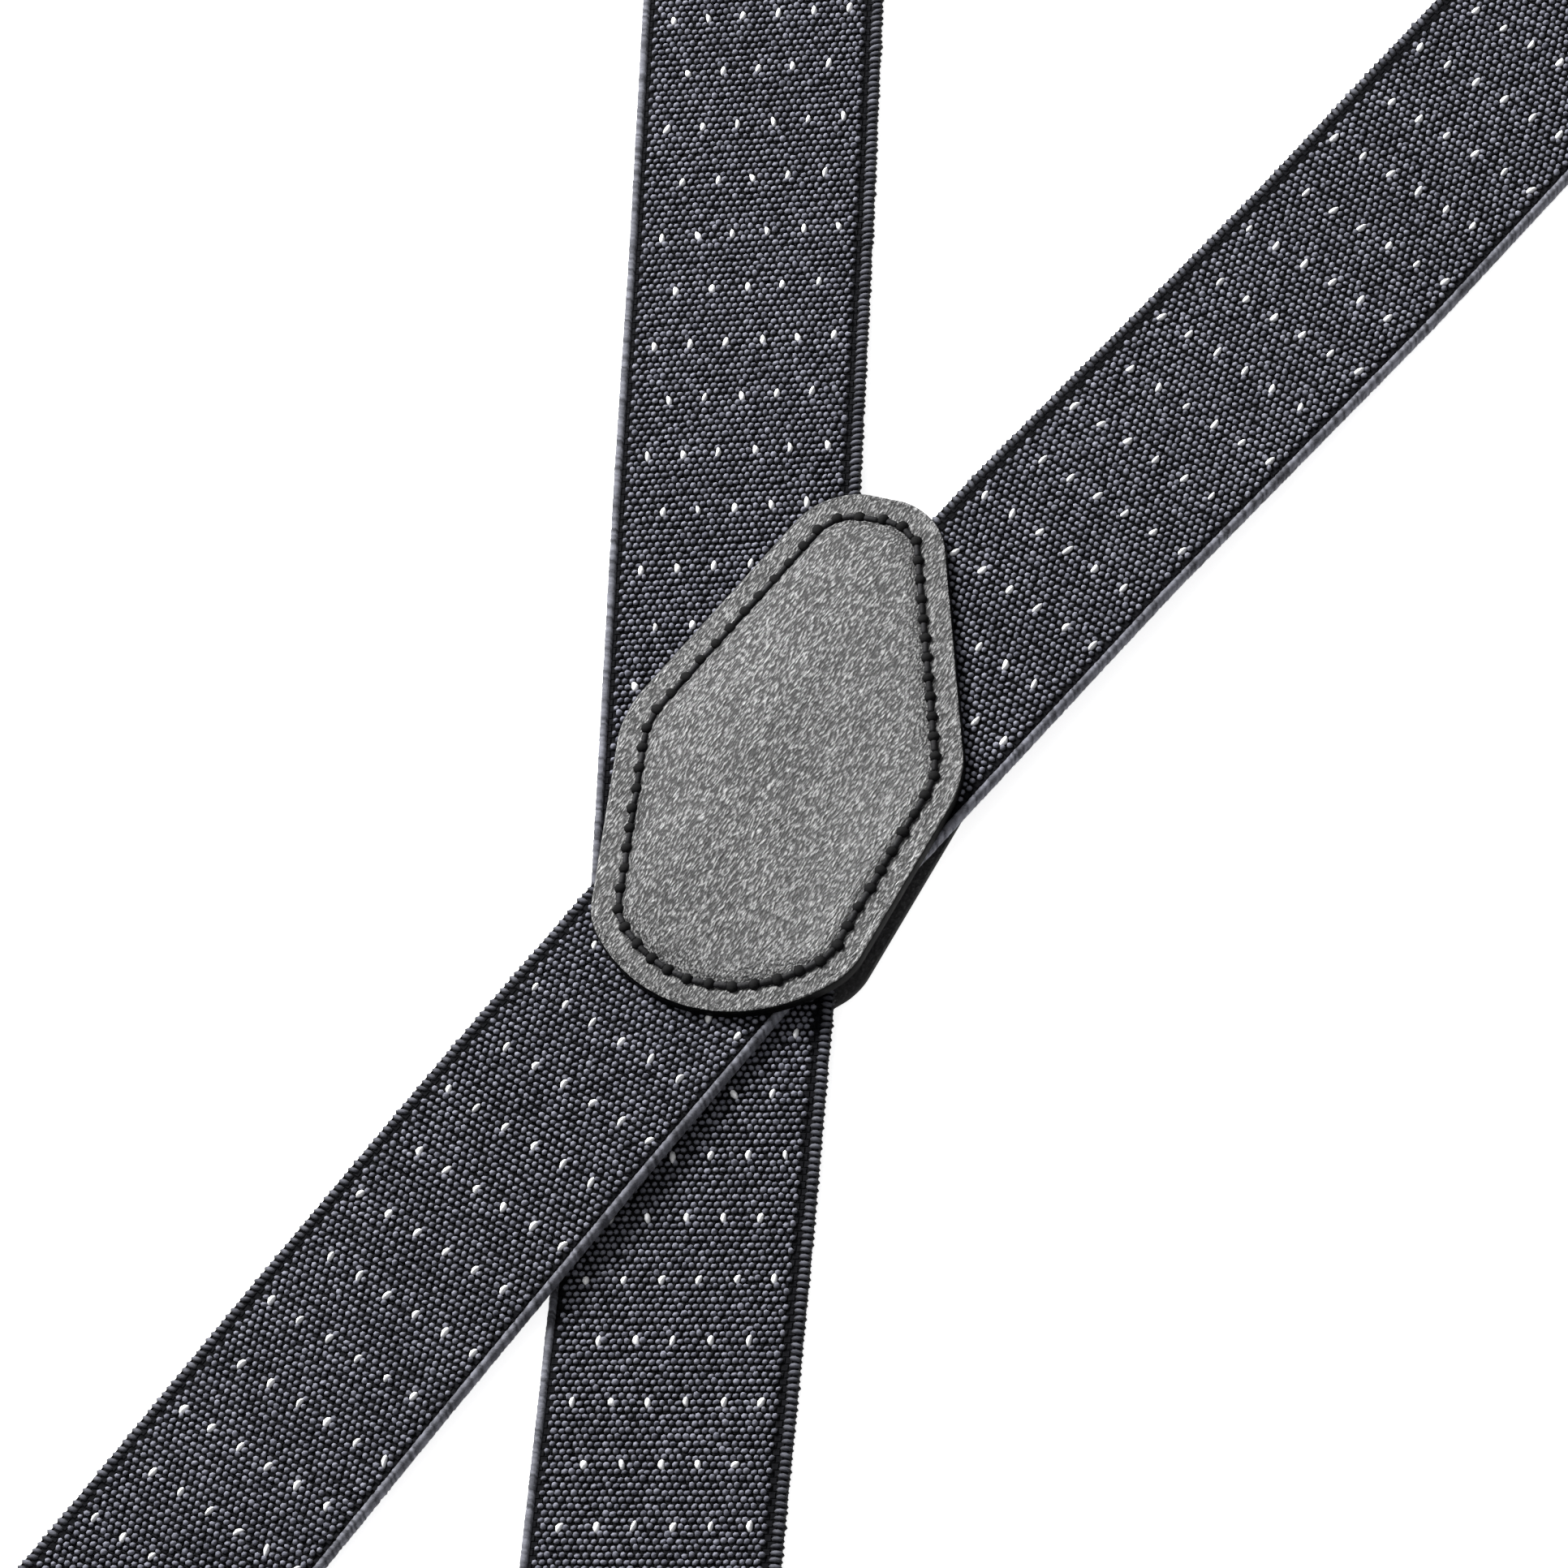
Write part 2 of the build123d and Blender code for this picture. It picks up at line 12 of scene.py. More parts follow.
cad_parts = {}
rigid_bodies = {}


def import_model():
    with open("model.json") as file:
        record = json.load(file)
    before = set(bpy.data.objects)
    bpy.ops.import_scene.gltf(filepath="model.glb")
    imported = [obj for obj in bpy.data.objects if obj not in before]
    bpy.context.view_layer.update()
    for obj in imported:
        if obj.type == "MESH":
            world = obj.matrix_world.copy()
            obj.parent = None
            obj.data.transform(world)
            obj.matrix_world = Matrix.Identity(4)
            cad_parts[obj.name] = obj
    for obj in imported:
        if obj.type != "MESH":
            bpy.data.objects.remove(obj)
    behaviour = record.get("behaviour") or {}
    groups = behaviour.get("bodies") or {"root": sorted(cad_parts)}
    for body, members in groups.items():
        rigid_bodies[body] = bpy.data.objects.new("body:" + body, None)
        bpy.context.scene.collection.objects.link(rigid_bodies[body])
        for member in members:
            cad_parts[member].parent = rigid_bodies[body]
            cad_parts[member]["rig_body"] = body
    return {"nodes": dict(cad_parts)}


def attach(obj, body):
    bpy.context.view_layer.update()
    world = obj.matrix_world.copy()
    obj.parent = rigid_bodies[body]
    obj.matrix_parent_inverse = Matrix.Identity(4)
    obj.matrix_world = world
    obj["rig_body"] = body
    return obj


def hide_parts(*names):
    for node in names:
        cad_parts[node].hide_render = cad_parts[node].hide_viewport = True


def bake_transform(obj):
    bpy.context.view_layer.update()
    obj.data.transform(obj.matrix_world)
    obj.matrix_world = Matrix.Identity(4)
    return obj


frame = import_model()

LOG = logging.getLogger("suspenders")
MM = 0.001
SEED = 483
CROSSING = (-3.0, -25.6)  # where the legs' centre lines meet
STRAP_WIDTH = 35.0
STRAP_THICK = 1.8
FRONT_RING_AT = 660.0
REAR_RING_AT = 250.0
RING_Z = 3.4
TURN_R = 2.5  # middle of the webbing round a ring
BAR_TURN_R = 1.55  # middle of the webbing round the adjuster's sewn bar
BAR_Z = 2.45
BAR_AT = 455.2
CLOTH_START = -1.0  # along a leg, hidden under the patch
PATCH_Z = 5.0  # underside of the front leather
KNOT_ROWS = 9  # from one row of dots to the next
FRONT_TACK_AT = 469.4
REAR_TACK_AT = 213.0
FRONT_RISE = ((190, 0), (280, 5.0), (700, 5.0))  # off the ground and up to the ring
REAR_RISE = ((180, 0), (205, 1.9), (226, 1.9), (245, 5.0), (300, 5.0))  # over the sewn end to the ring


class Face(Enum):
    """Which face of a piece of leather is dressed."""

    OUTER = 1
    INNER = -1


class Side(Enum):
    """The edge of a leg that has the smooth cord, as a sign along the leg's left."""

    LEFT = 1
    RIGHT = -1


# ------------------------------------------------------------------ node helpers


def rgb(red: float, green: float, blue: float) -> tuple[float, float, float, float]:
    """Gives the linear colour of an sRGB colour from 0 to 255, with full opacity."""
    parts = [c / 255 for c in (red, green, blue)]
    return (*[c / 12.92 if c < 0.04045 else ((c + 0.055) / 1.055) ** 2.4 for c in parts], 1.0)


class Graph:
    """A node tree with short calls to add nodes and join them."""

    def __init__(self, tree: bpy.types.NodeTree) -> None:
        """Holds the tree and how many nodes it has, to lay them out.

        Args:
            tree: The tree to add to.
        """
        self.tree = tree
        self.count = 0

    def add(self, kind: str, **values: object) -> bpy.types.Node:
        """Adds a node.

        Args:
            kind: The node's type without its ShaderNode prefix.
            values: Properties by name, or inputs by name with spaces as underscores.
        Returns:
            The node.
        """
        node = self.tree.nodes.new(kind if kind.startswith("NodeGroup") else "ShaderNode" + kind)
        node.location = (220 * (self.count % 8), -260 * (self.count // 8))
        self.count += 1
        for key, value in values.items():
            if hasattr(node, key):
                setattr(node, key, value)
            else:
                node.inputs[key.replace("_", " ")].default_value = value
        return node

    def join(self, out: bpy.types.NodeSocket, into: bpy.types.NodeSocket) -> None:
        """Joins an output to an input."""
        self.tree.links.new(out, into)

    def feed(self, value: object, into: bpy.types.NodeSocket) -> None:
        """Gives an input another socket's value or a plain one."""
        if isinstance(value, bpy.types.NodeSocket):
            self.join(value, into)
        else:
            into.default_value = value

    def noise(self, place: bpy.types.NodeSocket, scale: object, **values: float) -> bpy.types.NodeSocket:
        """Adds noise over a place.

        Args:
            place: The place's socket.
            scale: A socket or number.
            values: The noise's other inputs.
        Returns:
            The noise's socket.
        """
        node = self.add("TexNoise", **values)
        self.join(place, node.inputs["Vector"])
        self.feed(scale, node.inputs["Scale"])
        return node.outputs[0]

    def mix(self, a: object, b: object, factor: object) -> bpy.types.NodeSocket:
        """Mixes two colours, each a socket or a value.

        Args:
            a: The colour at factor 0.
            b: The colour at factor 1.
            factor: A socket or number.
        Returns:
            The mixed colour's socket.
        """
        node = self.add("Mix", data_type="RGBA")
        for value, index in ((factor, 0), (a, 6), (b, 7)):
            self.feed(value, node.inputs[index])
        return node.outputs[2]

    def scale(
        self, value: bpy.types.NodeSocket, low: float, high: float, start: float = 0.0, end: float = 1.0
    ) -> bpy.types.NodeSocket:
        """Maps a value from one range to another, clamped.

        Args:
            value: The socket to map.
            low: Result at start.
            high: Result at end.
            start: Value that gives low.
            end: Value that gives high.
        Returns:
            The mapped value's socket.
        """
        node = self.add("MapRange", clamp=True)
        self.join(value, node.inputs[0])
        for index, number in enumerate((start, end, low, high), 1):
            node.inputs[index].default_value = number
        return node.outputs[0]

    def math(self, operation: str, a: object, b: object) -> bpy.types.NodeSocket:
        """Does a sum on two values, each a socket or a number.

        Args:
            operation: The Math node's operation.
            a: First value.
            b: Second value.
        Returns:
            The result's socket.
        """
        node = self.add("Math", operation=operation)
        for index, value in enumerate((a, b)):
            self.feed(value, node.inputs[index])
        return node.outputs[0]


def new_group(name: str, inputs: dict[str, float], outputs: list[str]) -> tuple[Graph, object, object]:
    """Starts a node group whose sockets are values.

    Args:
        name: The group's name.
        inputs: Default of each input.
        outputs: Names of the outputs.
    Returns:
        The group's graph, its input node and its output node.
    """
    tree = bpy.data.node_groups.new(name, "ShaderNodeTree")
    for key, value in inputs.items():
        socket = tree.interface.new_socket(key, in_out="INPUT", socket_type="NodeSocketFloat")
        socket.default_value = value
    for key in outputs:
        tree.interface.new_socket(key, in_out="OUTPUT", socket_type="NodeSocketFloat")
    graph = Graph(tree)
    return graph, graph.add("NodeGroupInput"), graph.add("NodeGroupOutput")


def drawn_out(
    graph: Graph, turn: bpy.types.NodeSocket, long: bpy.types.NodeSocket, kind: str
) -> tuple[bpy.types.NodeSocket, bpy.types.NodeSocket]:
    """Turns the object's own space and scales it along one way.

    Args:
        graph: The group's graph.
        turn: Socket of the turn about Z, in radians.
        long: Socket of the scale along the turned X.
        kind: The Mapping node's vector type.
    Returns:
        Sockets of the object's own place and of the turned one.
    """
    place = graph.add("TexCoord").outputs["Object"]
    mapping = graph.add("Mapping", vector_type=kind)
    graph.join(place, mapping.inputs["Vector"])
    spin = graph.add("CombineXYZ")
    graph.join(turn, spin.inputs["Z"])
    graph.join(spin.outputs[0], mapping.inputs["Rotation"])
    size = graph.add("CombineXYZ", Y=1.0, Z=1.0)
    graph.join(long, size.inputs["X"])
    graph.join(size.outputs[0], mapping.inputs["Scale"])
    return place, mapping.outputs[0]


def fibre_group() -> bpy.types.NodeTree:
    """Builds the fine fibres of a yarn: a tone and a height from noise at fibre scale.

    Returns:
        The group, with inputs Scale, Long and Turn and outputs Tone and Height.
    """
    inputs = {"Scale": 3000.0, "Long": 4.0, "Turn": 0.6}
    graph, source, sink = new_group("yarn_fibres", inputs, ["Tone", "Height"])
    long = graph.math("DIVIDE", 1.0, source.outputs["Long"])
    place, yarn = drawn_out(graph, source.outputs["Turn"], long, "POINT")
    fibres = graph.noise(yarn, source.outputs["Scale"], Detail=3.0, Roughness=0.6)
    cloud = graph.noise(place, 90.0, Detail=2.0)
    near = graph.math("MULTIPLY", fibres, 0.75)
    both = graph.math("ADD", near, graph.math("MULTIPLY", cloud, 0.25))
    graph.join(graph.scale(both, 0.0, 1.0, 0.3, 0.7), sink.inputs["Tone"])
    graph.join(fibres, sink.inputs["Height"])
    return graph.tree


def grain_group() -> bpy.types.NodeTree:
    """Builds a leather or rubber grain: pebbles drawn out one way, with finer pits.

    Returns:
        The group, with inputs Scale, Stretch and Turn and outputs Height and Tone.
    """
    inputs = {"Scale": 2200.0, "Stretch": 1.8, "Turn": 1.0}
    graph, source, sink = new_group("skin_grain", inputs, ["Height", "Tone"])
    scale = source.outputs["Scale"]
    _, skin = drawn_out(graph, source.outputs["Turn"], source.outputs["Stretch"], "TEXTURE")
    wander = graph.noise(skin, graph.math("MULTIPLY", scale, 0.5), Detail=2.0)
    pebbles = graph.add("TexVoronoi", feature="SMOOTH_F1", Smoothness=0.4)
    graph.join(skin, pebbles.inputs["Vector"])
    graph.join(scale, pebbles.inputs["Scale"])
    fine = graph.noise(skin, graph.math("MULTIPLY", scale, 1.1), Detail=4.0, Roughness=0.65)
    body = graph.math("MULTIPLY", graph.math("SUBTRACT", 1.0, pebbles.outputs["Distance"]), 0.45)
    height = graph.math("ADD", body, graph.math("MULTIPLY", fine, 0.75))
    height = graph.math("ADD", height, graph.math("MULTIPLY", wander, 0.35))
    graph.join(height, sink.inputs["Height"])
    graph.join(graph.scale(height, 0.0, 1.0, 0.74, 1.08), sink.inputs["Tone"])
    return graph.tree


def wear_group() -> bpy.types.NodeTree:
    """Builds handling wear: fine scratches both ways and soft smudges.

    Returns:
        The group, with input Scale and outputs Scratch, Smudge and Height.
    """
    graph, source, sink = new_group("handling_wear", {"Scale": 900.0}, ["Scratch", "Smudge", "Height"])
    place = graph.add("TexCoord").outputs["Object"]
    marks = []
    for angle in (0.5, 2.1):
        turn = graph.add("Mapping")
        turn.inputs["Rotation"].default_value = (0.0, 0.0, angle)
        turn.inputs["Scale"].default_value = (0.06, 1.0, 1.0)
        graph.join(place, turn.inputs["Vector"])
        lines = graph.noise(turn.outputs[0], source.outputs["Scale"], Detail=2.0)
        marks.append(graph.scale(lines, 0.0, 1.0, 0.62, 0.72))
    scratch = graph.math("MAXIMUM", *marks)
    pits = graph.noise(place, 4200.0, Detail=2.0)
    graph.join(scratch, sink.inputs["Scratch"])
    graph.join(graph.noise(place, 140.0, Detail=3.0), sink.inputs["Smudge"])
    height = graph.math("MULTIPLY", pits, 0.4)
    height = graph.math("SUBTRACT", height, graph.math("MULTIPLY", scratch, 0.5))
    graph.join(height, sink.inputs["Height"])
    return graph.tree


class Groups:
    """The shared effects, each built once."""

    made: dict[str, bpy.types.NodeTree] = {}
    makers = {"fibres": fibre_group, "grain": grain_group, "wear": wear_group}

    @classmethod
    def place(cls, graph: Graph, name: str, **values: float) -> bpy.types.Node:
        """Places a shared effect in a material with its own values.

        Args:
            graph: The material's graph.
            name: Key in makers.
            values: The effect's inputs.
        Returns:
            The group node.
        """
        if name not in cls.made:
            cls.made[name] = cls.makers[name]()
        node = graph.add("Group")
        node.node_tree = cls.made[name]
        for key, value in values.items():
            node.inputs[key].default_value = value
        return node


def start_material(name: str) -> tuple[bpy.types.Material, Graph, bpy.types.Node]:
    """Starts a material with one Principled shader.

    Args:
        name: The material's name.
    Returns:
        The material, its graph and its shader.
    """
    material = bpy.data.materials.new(name)
    material.use_nodes = True
    shader = material.node_tree.nodes["Principled BSDF"]
    return material, Graph(material.node_tree), shader


def bump(
    graph: Graph, shader: bpy.types.Node, height: bpy.types.NodeSocket, strength: float, depth: float
) -> None:
    """Feeds a height to a shader's normal.

    Args:
        graph: The material's graph.
        shader: The Principled shader.
        height: Height socket.
        strength: Strength of the bump, 0 to 1.
        depth: Depth of the relief in metres.
    """
    node = graph.add("Bump", Strength=strength, Distance=depth)
    graph.join(height, node.inputs["Height"])
    graph.join(node.outputs[0], shader.inputs["Normal"])


# ------------------------------------------------------------------ finishes


@dataclass(frozen=True)
class YarnFinish:
    """A spun yarn: colour with a tone for each knot, fine fibres, a soft sheen and painted shade towards each
    knot's foot.
    """

    name: str
    dark: tuple[float, float, float, float]
    light: tuple[float, float, float, float]
    rough: float = 0.7
    sheen: float = 0.25
    fibre_scale: float = 5200.0
    depth: float = 0.00012
    spread: float = 0.55  # share of the tone that the knot decides, not the fibres
    painted_shade_foot: tuple[float, float, float, float] | None = None  # painted shade: colour deep between the knots, at the foot of each knot

    def material(self) -> bpy.types.Material:
        """Builds the yarn's material.

        Returns:
            The material, which reads the mesh's Tone attribute and, with painted foot shade, its Rise to
            darken each knot's foot.
        """
        material, graph, shader = start_material(self.name)
        fibres = Groups.place(graph, "fibres", Scale=self.fibre_scale)
        knot = graph.add("Attribute", attribute_name="Tone")
        own = graph.math("MULTIPLY", knot.outputs["Fac"], self.spread)
        tone = graph.math("ADD", own, graph.math("MULTIPLY", fibres.outputs["Tone"], 1 - self.spread))
        colour = graph.mix(self.dark, self.light, tone)
        # painted shade: low on each knot the colour darkens to the foot colour, by its Rise
        if self.painted_shade_foot is not None:
            rise = graph.add("Attribute", attribute_name="Rise")
            colour = graph.mix(self.painted_shade_foot, colour, graph.scale(rise.outputs["Fac"], 0.0, 1.0, 0.12, 0.7))
        graph.join(colour, shader.inputs["Base Color"])
        graph.join(graph.scale(tone, self.rough + 0.12, self.rough - 0.1), shader.inputs["Roughness"])
        shader.inputs["Sheen Weight"].default_value = self.sheen
        shader.inputs["Sheen Roughness"].default_value = 0.4
        shader.inputs["Specular IOR Level"].default_value = 0.12
        bump(graph, shader, fibres.outputs["Height"], 0.6, self.depth)
        return material


@dataclass(frozen=True)
class GroundFinish:
    """The cloth under the knots: near-black filling yarns with a plain weave relief, its top dimmed further
    as painted shade between the knots.
    """

    name: str
    dark: tuple[float, float, float, float]
    light: tuple[float, float, float, float]
    across: float = 1.012
    along: float = 1.021

    def material(self) -> bpy.types.Material:
        """Builds the ground's material on the cloth's own flat map.

        Returns:
            The material, which reads the Cloth map in centimetres.
        """
        material, graph, shader = start_material(self.name)
        flat = graph.add("UVMap", uv_map="Cloth")
        weave = graph.add("TexBrick", offset=0.5, offset_frequency=2, squash=1.0)
        weave.inputs["Scale"].default_value = 1.0
        weave.inputs["Brick Width"].default_value = self.across / 10
        weave.inputs["Row Height"].default_value = self.along / 10
        weave.inputs["Mortar Size"].default_value = 0.016
        weave.inputs["Mortar Smooth"].default_value = 1.0
        weave.inputs["Color1"].default_value = (1, 1, 1, 1)
        weave.inputs["Color2"].default_value = (0.7, 0.7, 0.7, 1)
        weave.inputs["Mortar"].default_value = (0, 0, 0, 1)
        graph.join(flat.outputs[0], weave.inputs["Vector"])
        fibres = Groups.place(graph, "fibres", Scale=5200.0, Turn=0.3)
        tone = graph.math("MULTIPLY", weave.outputs["Color"], graph.scale(fibres.outputs["Tone"], 0.55, 1.0))
        # painted shade: on top, between the knots, only 3 percent of the weave tone shows over the dark
        # yarn's own colour; the underside shows it whole
        under = graph.add("Attribute", attribute_name="Under")
        shown = graph.math("MULTIPLY", tone, graph.scale(under.outputs["Fac"], 0.03, 1.0))
        graph.join(graph.mix(self.dark, self.light, shown), shader.inputs["Base Color"])
        graph.join(graph.scale(tone, 0.92, 0.7), shader.inputs["Roughness"])
        shader.inputs["Specular IOR Level"].default_value = 0.05
        threads = graph.math("MULTIPLY", fibres.outputs["Height"], 0.5)
        relief = graph.math("ADD", weave.outputs["Color"], threads)
        bump(graph, shader, relief, 0.9, 0.0003)
        return material


@dataclass(frozen=True)
class LeatherFinish:
    """Pressed leather: a coloured skin with a fine drawn-out grain and a soft shine."""

    name: str
    dark: tuple[float, float, float, float]
    light: tuple[float, float, float, float]
    rough: float = 0.4
    grain: float = 2600.0
    stretch: float = 1.9
    depth: float = 0.00022
    turn: float = 1.0

    def material(self) -> bpy.types.Material:
        """Builds the leather's material.

        Returns:
            The material.
        """
        material, graph, shader = start_material(self.name)
        grain = Groups.place(graph, "grain", Scale=self.grain, Stretch=self.stretch, Turn=self.turn)
        wear = Groups.place(graph, "wear", Scale=500.0)
        tone = graph.math("ADD", grain.outputs["Tone"], graph.scale(wear.outputs["Smudge"], -0.06, 0.06))
        graph.join(graph.mix(self.dark, self.light, tone), shader.inputs["Base Color"])
        gloss = graph.scale(grain.outputs["Tone"], self.rough + 0.1, self.rough - 0.08)
        rough = graph.math("ADD", gloss, graph.scale(wear.outputs["Smudge"], -0.05, 0.05))
        graph.join(rough, shader.inputs["Roughness"])
        shader.inputs["Specular IOR Level"].default_value = 0.65
        bump(graph, shader, grain.outputs["Height"], 1.0, self.depth)
        return material


@dataclass(frozen=True)
class PlatedFinish:
    """Nickel plate: bright metal with fine scratches, smudges and a slight orange peel."""

    name: str
    colour: tuple[float, float, float, float]
    dull: tuple[float, float, float, float]
    rough: float = 0.2

    def material(self) -> bpy.types.Material:
        """Builds the plate's material.

        Returns:
            The material.
        """
        material, graph, shader = start_material(self.name)
        wear = Groups.place(graph, "wear", Scale=900.0)
        scratch = graph.math("MULTIPLY", wear.outputs["Scratch"], 0.3)
        marks = graph.math("ADD", scratch, graph.scale(wear.outputs["Smudge"], 0.0, 0.4, 0.35, 0.75))
        graph.join(graph.mix(self.colour, self.dull, marks), shader.inputs["Base Color"])
        graph.join(graph.scale(marks, self.rough, self.rough + 0.15), shader.inputs["Roughness"])
        shader.inputs["Metallic"].default_value = 1.0
        bump(graph, shader, wear.outputs["Height"], 0.1, 0.00002)
        return material


@dataclass(frozen=True)
class MouldedFinish:
    """Moulded rubber, foam or a painted edge, with its own grain and polish."""

    name: str
    dark: tuple[float, float, float, float]
    light: tuple[float, float, float, float]
    rough: float
    grain: float
    depth: float
    shine: float = 0.3

    def material(self) -> bpy.types.Material:
        """Builds the material.

        Returns:
            The material.
        """
        material, graph, shader = start_material(self.name)
        grain = Groups.place(graph, "grain", Scale=self.grain, Stretch=1.0, Turn=0.0)
        tone = grain.outputs["Tone"]
        graph.join(graph.mix(self.dark, self.light, tone), shader.inputs["Base Color"])
        graph.join(graph.scale(tone, self.rough + 0.08, self.rough - 0.05), shader.inputs["Roughness"])
        shader.inputs["Specular IOR Level"].default_value = self.shine
        bump(graph, shader, grain.outputs["Height"], 0.5, self.depth)
        return material


class Finishes:
    """Every finish on the suspenders, made when first asked for."""

    kinds = {
        # the knot, dot and rib yarns darken to a painted shade colour at the foot of each knot
        "knot": YarnFinish("knot_yarn", rgb(56, 57, 67), rgb(140, 141, 153), 0.75, 0.12, painted_shade_foot=rgb(4, 4, 5)),
        "dot": YarnFinish(
            "dot_yarn", rgb(228, 229, 232), rgb(253, 253, 254), 0.55, 0.3, painted_shade_foot=rgb(120, 120, 126),
        ),
        "cord": YarnFinish("cord_yarn", rgb(8, 8, 11), rgb(122, 123, 132), 0.75, 0.08, 5200.0, 0.0002, 0.7),
        "rib": YarnFinish(
            "rib_yarn", rgb(40, 41, 48), rgb(112, 113, 122), 0.75, 0.1, 5200.0, 0.00014, 0.6, rgb(4, 4, 5),
        ),
        "thread": YarnFinish("black_thread", rgb(2, 2, 2), rgb(46, 46, 48), 0.7, 0.0, 6500.0, 0.0001, 0.85),
        "ground": GroundFinish("ground_yarn", rgb(6, 6, 8), rgb(92, 93, 104)),
        "leather": LeatherFinish(
            "grey_leather", rgb(42, 42, 42), rgb(212, 212, 212), 0.32, 3700.0, 3.0, 0.0009, 1.32,
        ),
        "lining": LeatherFinish("lining_leather", rgb(52, 52, 53), rgb(92, 92, 93), 0.55, 1900.0, 1.1),
        "paint": MouldedFinish("edge_paint", rgb(2, 2, 2), rgb(8, 8, 8), 0.45, 900.0, 0.0001, 0.06),
        "plate": PlatedFinish("nickel_plate", rgb(162, 160, 157), rgb(128, 127, 125), 0.16),
        "pin": PlatedFinish("pin_steel", rgb(140, 139, 138), rgb(104, 103, 102), 0.24),
        "grip": MouldedFinish("grip_rubber", rgb(22, 22, 24), rgb(44, 44, 47), 0.6, 2400.0, 0.00012),
        "foam": MouldedFinish("white_foam", rgb(196, 194, 184), rgb(226, 224, 214), 0.85, 1500.0, 0.0003),
    }
    made: dict[str, bpy.types.Material] = {}

    @classmethod
    def get(cls, name: str) -> bpy.types.Material:
        """Gives the material of a finish by its key."""
        if name not in cls.made:
            cls.made[name] = cls.kinds[name].material()
        return cls.made[name]


# ------------------------------------------------------------------ mesh helpers


def smooth(mesh: bpy.types.Mesh, sharp: float | None = None) -> None:
    """Shades a mesh smooth, with edges over an angle in degrees kept sharp."""
    mesh.polygons.foreach_set("use_smooth", np.ones(len(mesh.polygons), bool))
    if sharp is not None:
        mesh.set_sharp_from_angle(angle=math.radians(sharp))


def places(mesh: bpy.types.Mesh) -> np.ndarray:
    """Reads a mesh's points as rows of three numbers."""
    points = np.zeros(len(mesh.vertices) * 3)
    mesh.vertices.foreach_get("co", points)
    return points.reshape(-1, 3)


def set_places(mesh: bpy.types.Mesh, points: np.ndarray) -> None:
    """Moves a mesh's points to rows of three numbers."""
    mesh.vertices.foreach_set("co", points.astype(np.float32).ravel())
    mesh.update()


def set_values(mesh: bpy.types.Mesh, name: str, values: np.ndarray) -> None:
    """Stores one number for each point of a mesh."""
    attribute = mesh.attributes.new(name, "FLOAT", "POINT")
    attribute.data.foreach_set("value", values.astype(np.float32))


def set_map(mesh: bpy.types.Mesh, name: str, flat: np.ndarray) -> None:
    """Gives a mesh a UV map from one pair of numbers for each point."""
    layer = mesh.uv_layers.new(name=name)
    corners = np.zeros(len(mesh.loops), int)
    mesh.loops.foreach_get("vertex_index", corners)
    layer.data.foreach_set("uv", flat[corners].astype(np.float32).ravel())


def finished(name: str, mesh: bpy.types.Mesh, slot: str, *finishes: str) -> bpy.types.Object:
    """Makes a piece from a mesh in metres and gives it its finishes.

    Args:
        name: The piece's name.
        mesh: Its mesh, in place.
        slot: Not used.
        finishes: Keys of Finishes, in the order of the mesh's material indices.
    Returns:
        The piece.
    """
    mesh.name = name
    for key in finishes:
        mesh.materials.append(Finishes.get(key))
    piece = bpy.data.objects.new(name, mesh)
    bpy.context.scene.collection.objects.link(piece)
    return piece


def to_mesh(bm: bmesh.types.BMesh, name: str) -> bpy.types.Mesh:
    """Turns a bmesh into a mesh and frees it."""
    mesh = bpy.data.meshes.new(name)
    bm.to_mesh(mesh)
    bm.free()
    return mesh


def repeated(mesh: bpy.types.Mesh, *runs: tuple[int, tuple[float, float]]) -> bpy.types.Mesh:
    """Repeats a mesh with one array after another.

    Args:
        mesh: The mesh to repeat.
        runs: How many copies each array makes, and the step between them along and across.
    Returns:
        The repeated mesh, each copy's points in one run.
    """
    piece = bpy.data.objects.new("repeat", mesh)
    bpy.context.scene.collection.objects.link(piece)
    for count, step in runs:
        array = piece.modifiers.new("Array", "ARRAY")
        array.count = count
        array.use_relative_offset = False
        array.use_constant_offset = True
        array.constant_offset_displace = (*step, 0.0)
    graph = bpy.context.evaluated_depsgraph_get()
    made = bpy.data.meshes.new_from_object(piece.evaluated_get(graph))
    bpy.data.objects.remove(piece)
    return made


def dome(segments: int, rings: int) -> bpy.types.Mesh:
    """Makes the upper half of a ball of radius 1.

    Args:
        segments: Sides of the ball.
        rings: Rings of the whole ball.
    Returns:
        The dome's mesh.
    """
    bm = bmesh.new()
    bmesh.ops.create_uvsphere(bm, u_segments=segments, v_segments=rings, radius=1.0)
    lower = [v for v in bm.verts if v.co.z < -0.01]
    bmesh.ops.delete(bm, geom=lower, context="VERTS")
    return to_mesh(bm, "dome")


def rod(long: float, segments: int, cuts: int) -> bmesh.types.BMesh:
    """Makes a closed rod of radius 1 along X, cut into short rings.

    Args:
        long: Its length.
        segments: Its sides.
        cuts: Rings between its ends.
    Returns:
        The bmesh.
    """
    bm = bmesh.new()
    bmesh.ops.create_cone(bm, cap_ends=True, segments=segments, radius1=1.0, radius2=1.0, depth=long)
    bmesh.ops.rotate(bm, verts=bm.verts, cent=(0, 0, 0), matrix=Matrix.Rotation(math.pi / 2, 3, "Y"))
    sides = [e for e in bm.edges if abs(e.verts[0].co.x - e.verts[1].co.x) > 1.0]
    bmesh.ops.subdivide_edges(bm, edges=sides, cuts=cuts, use_grid_fill=True)
    return bm


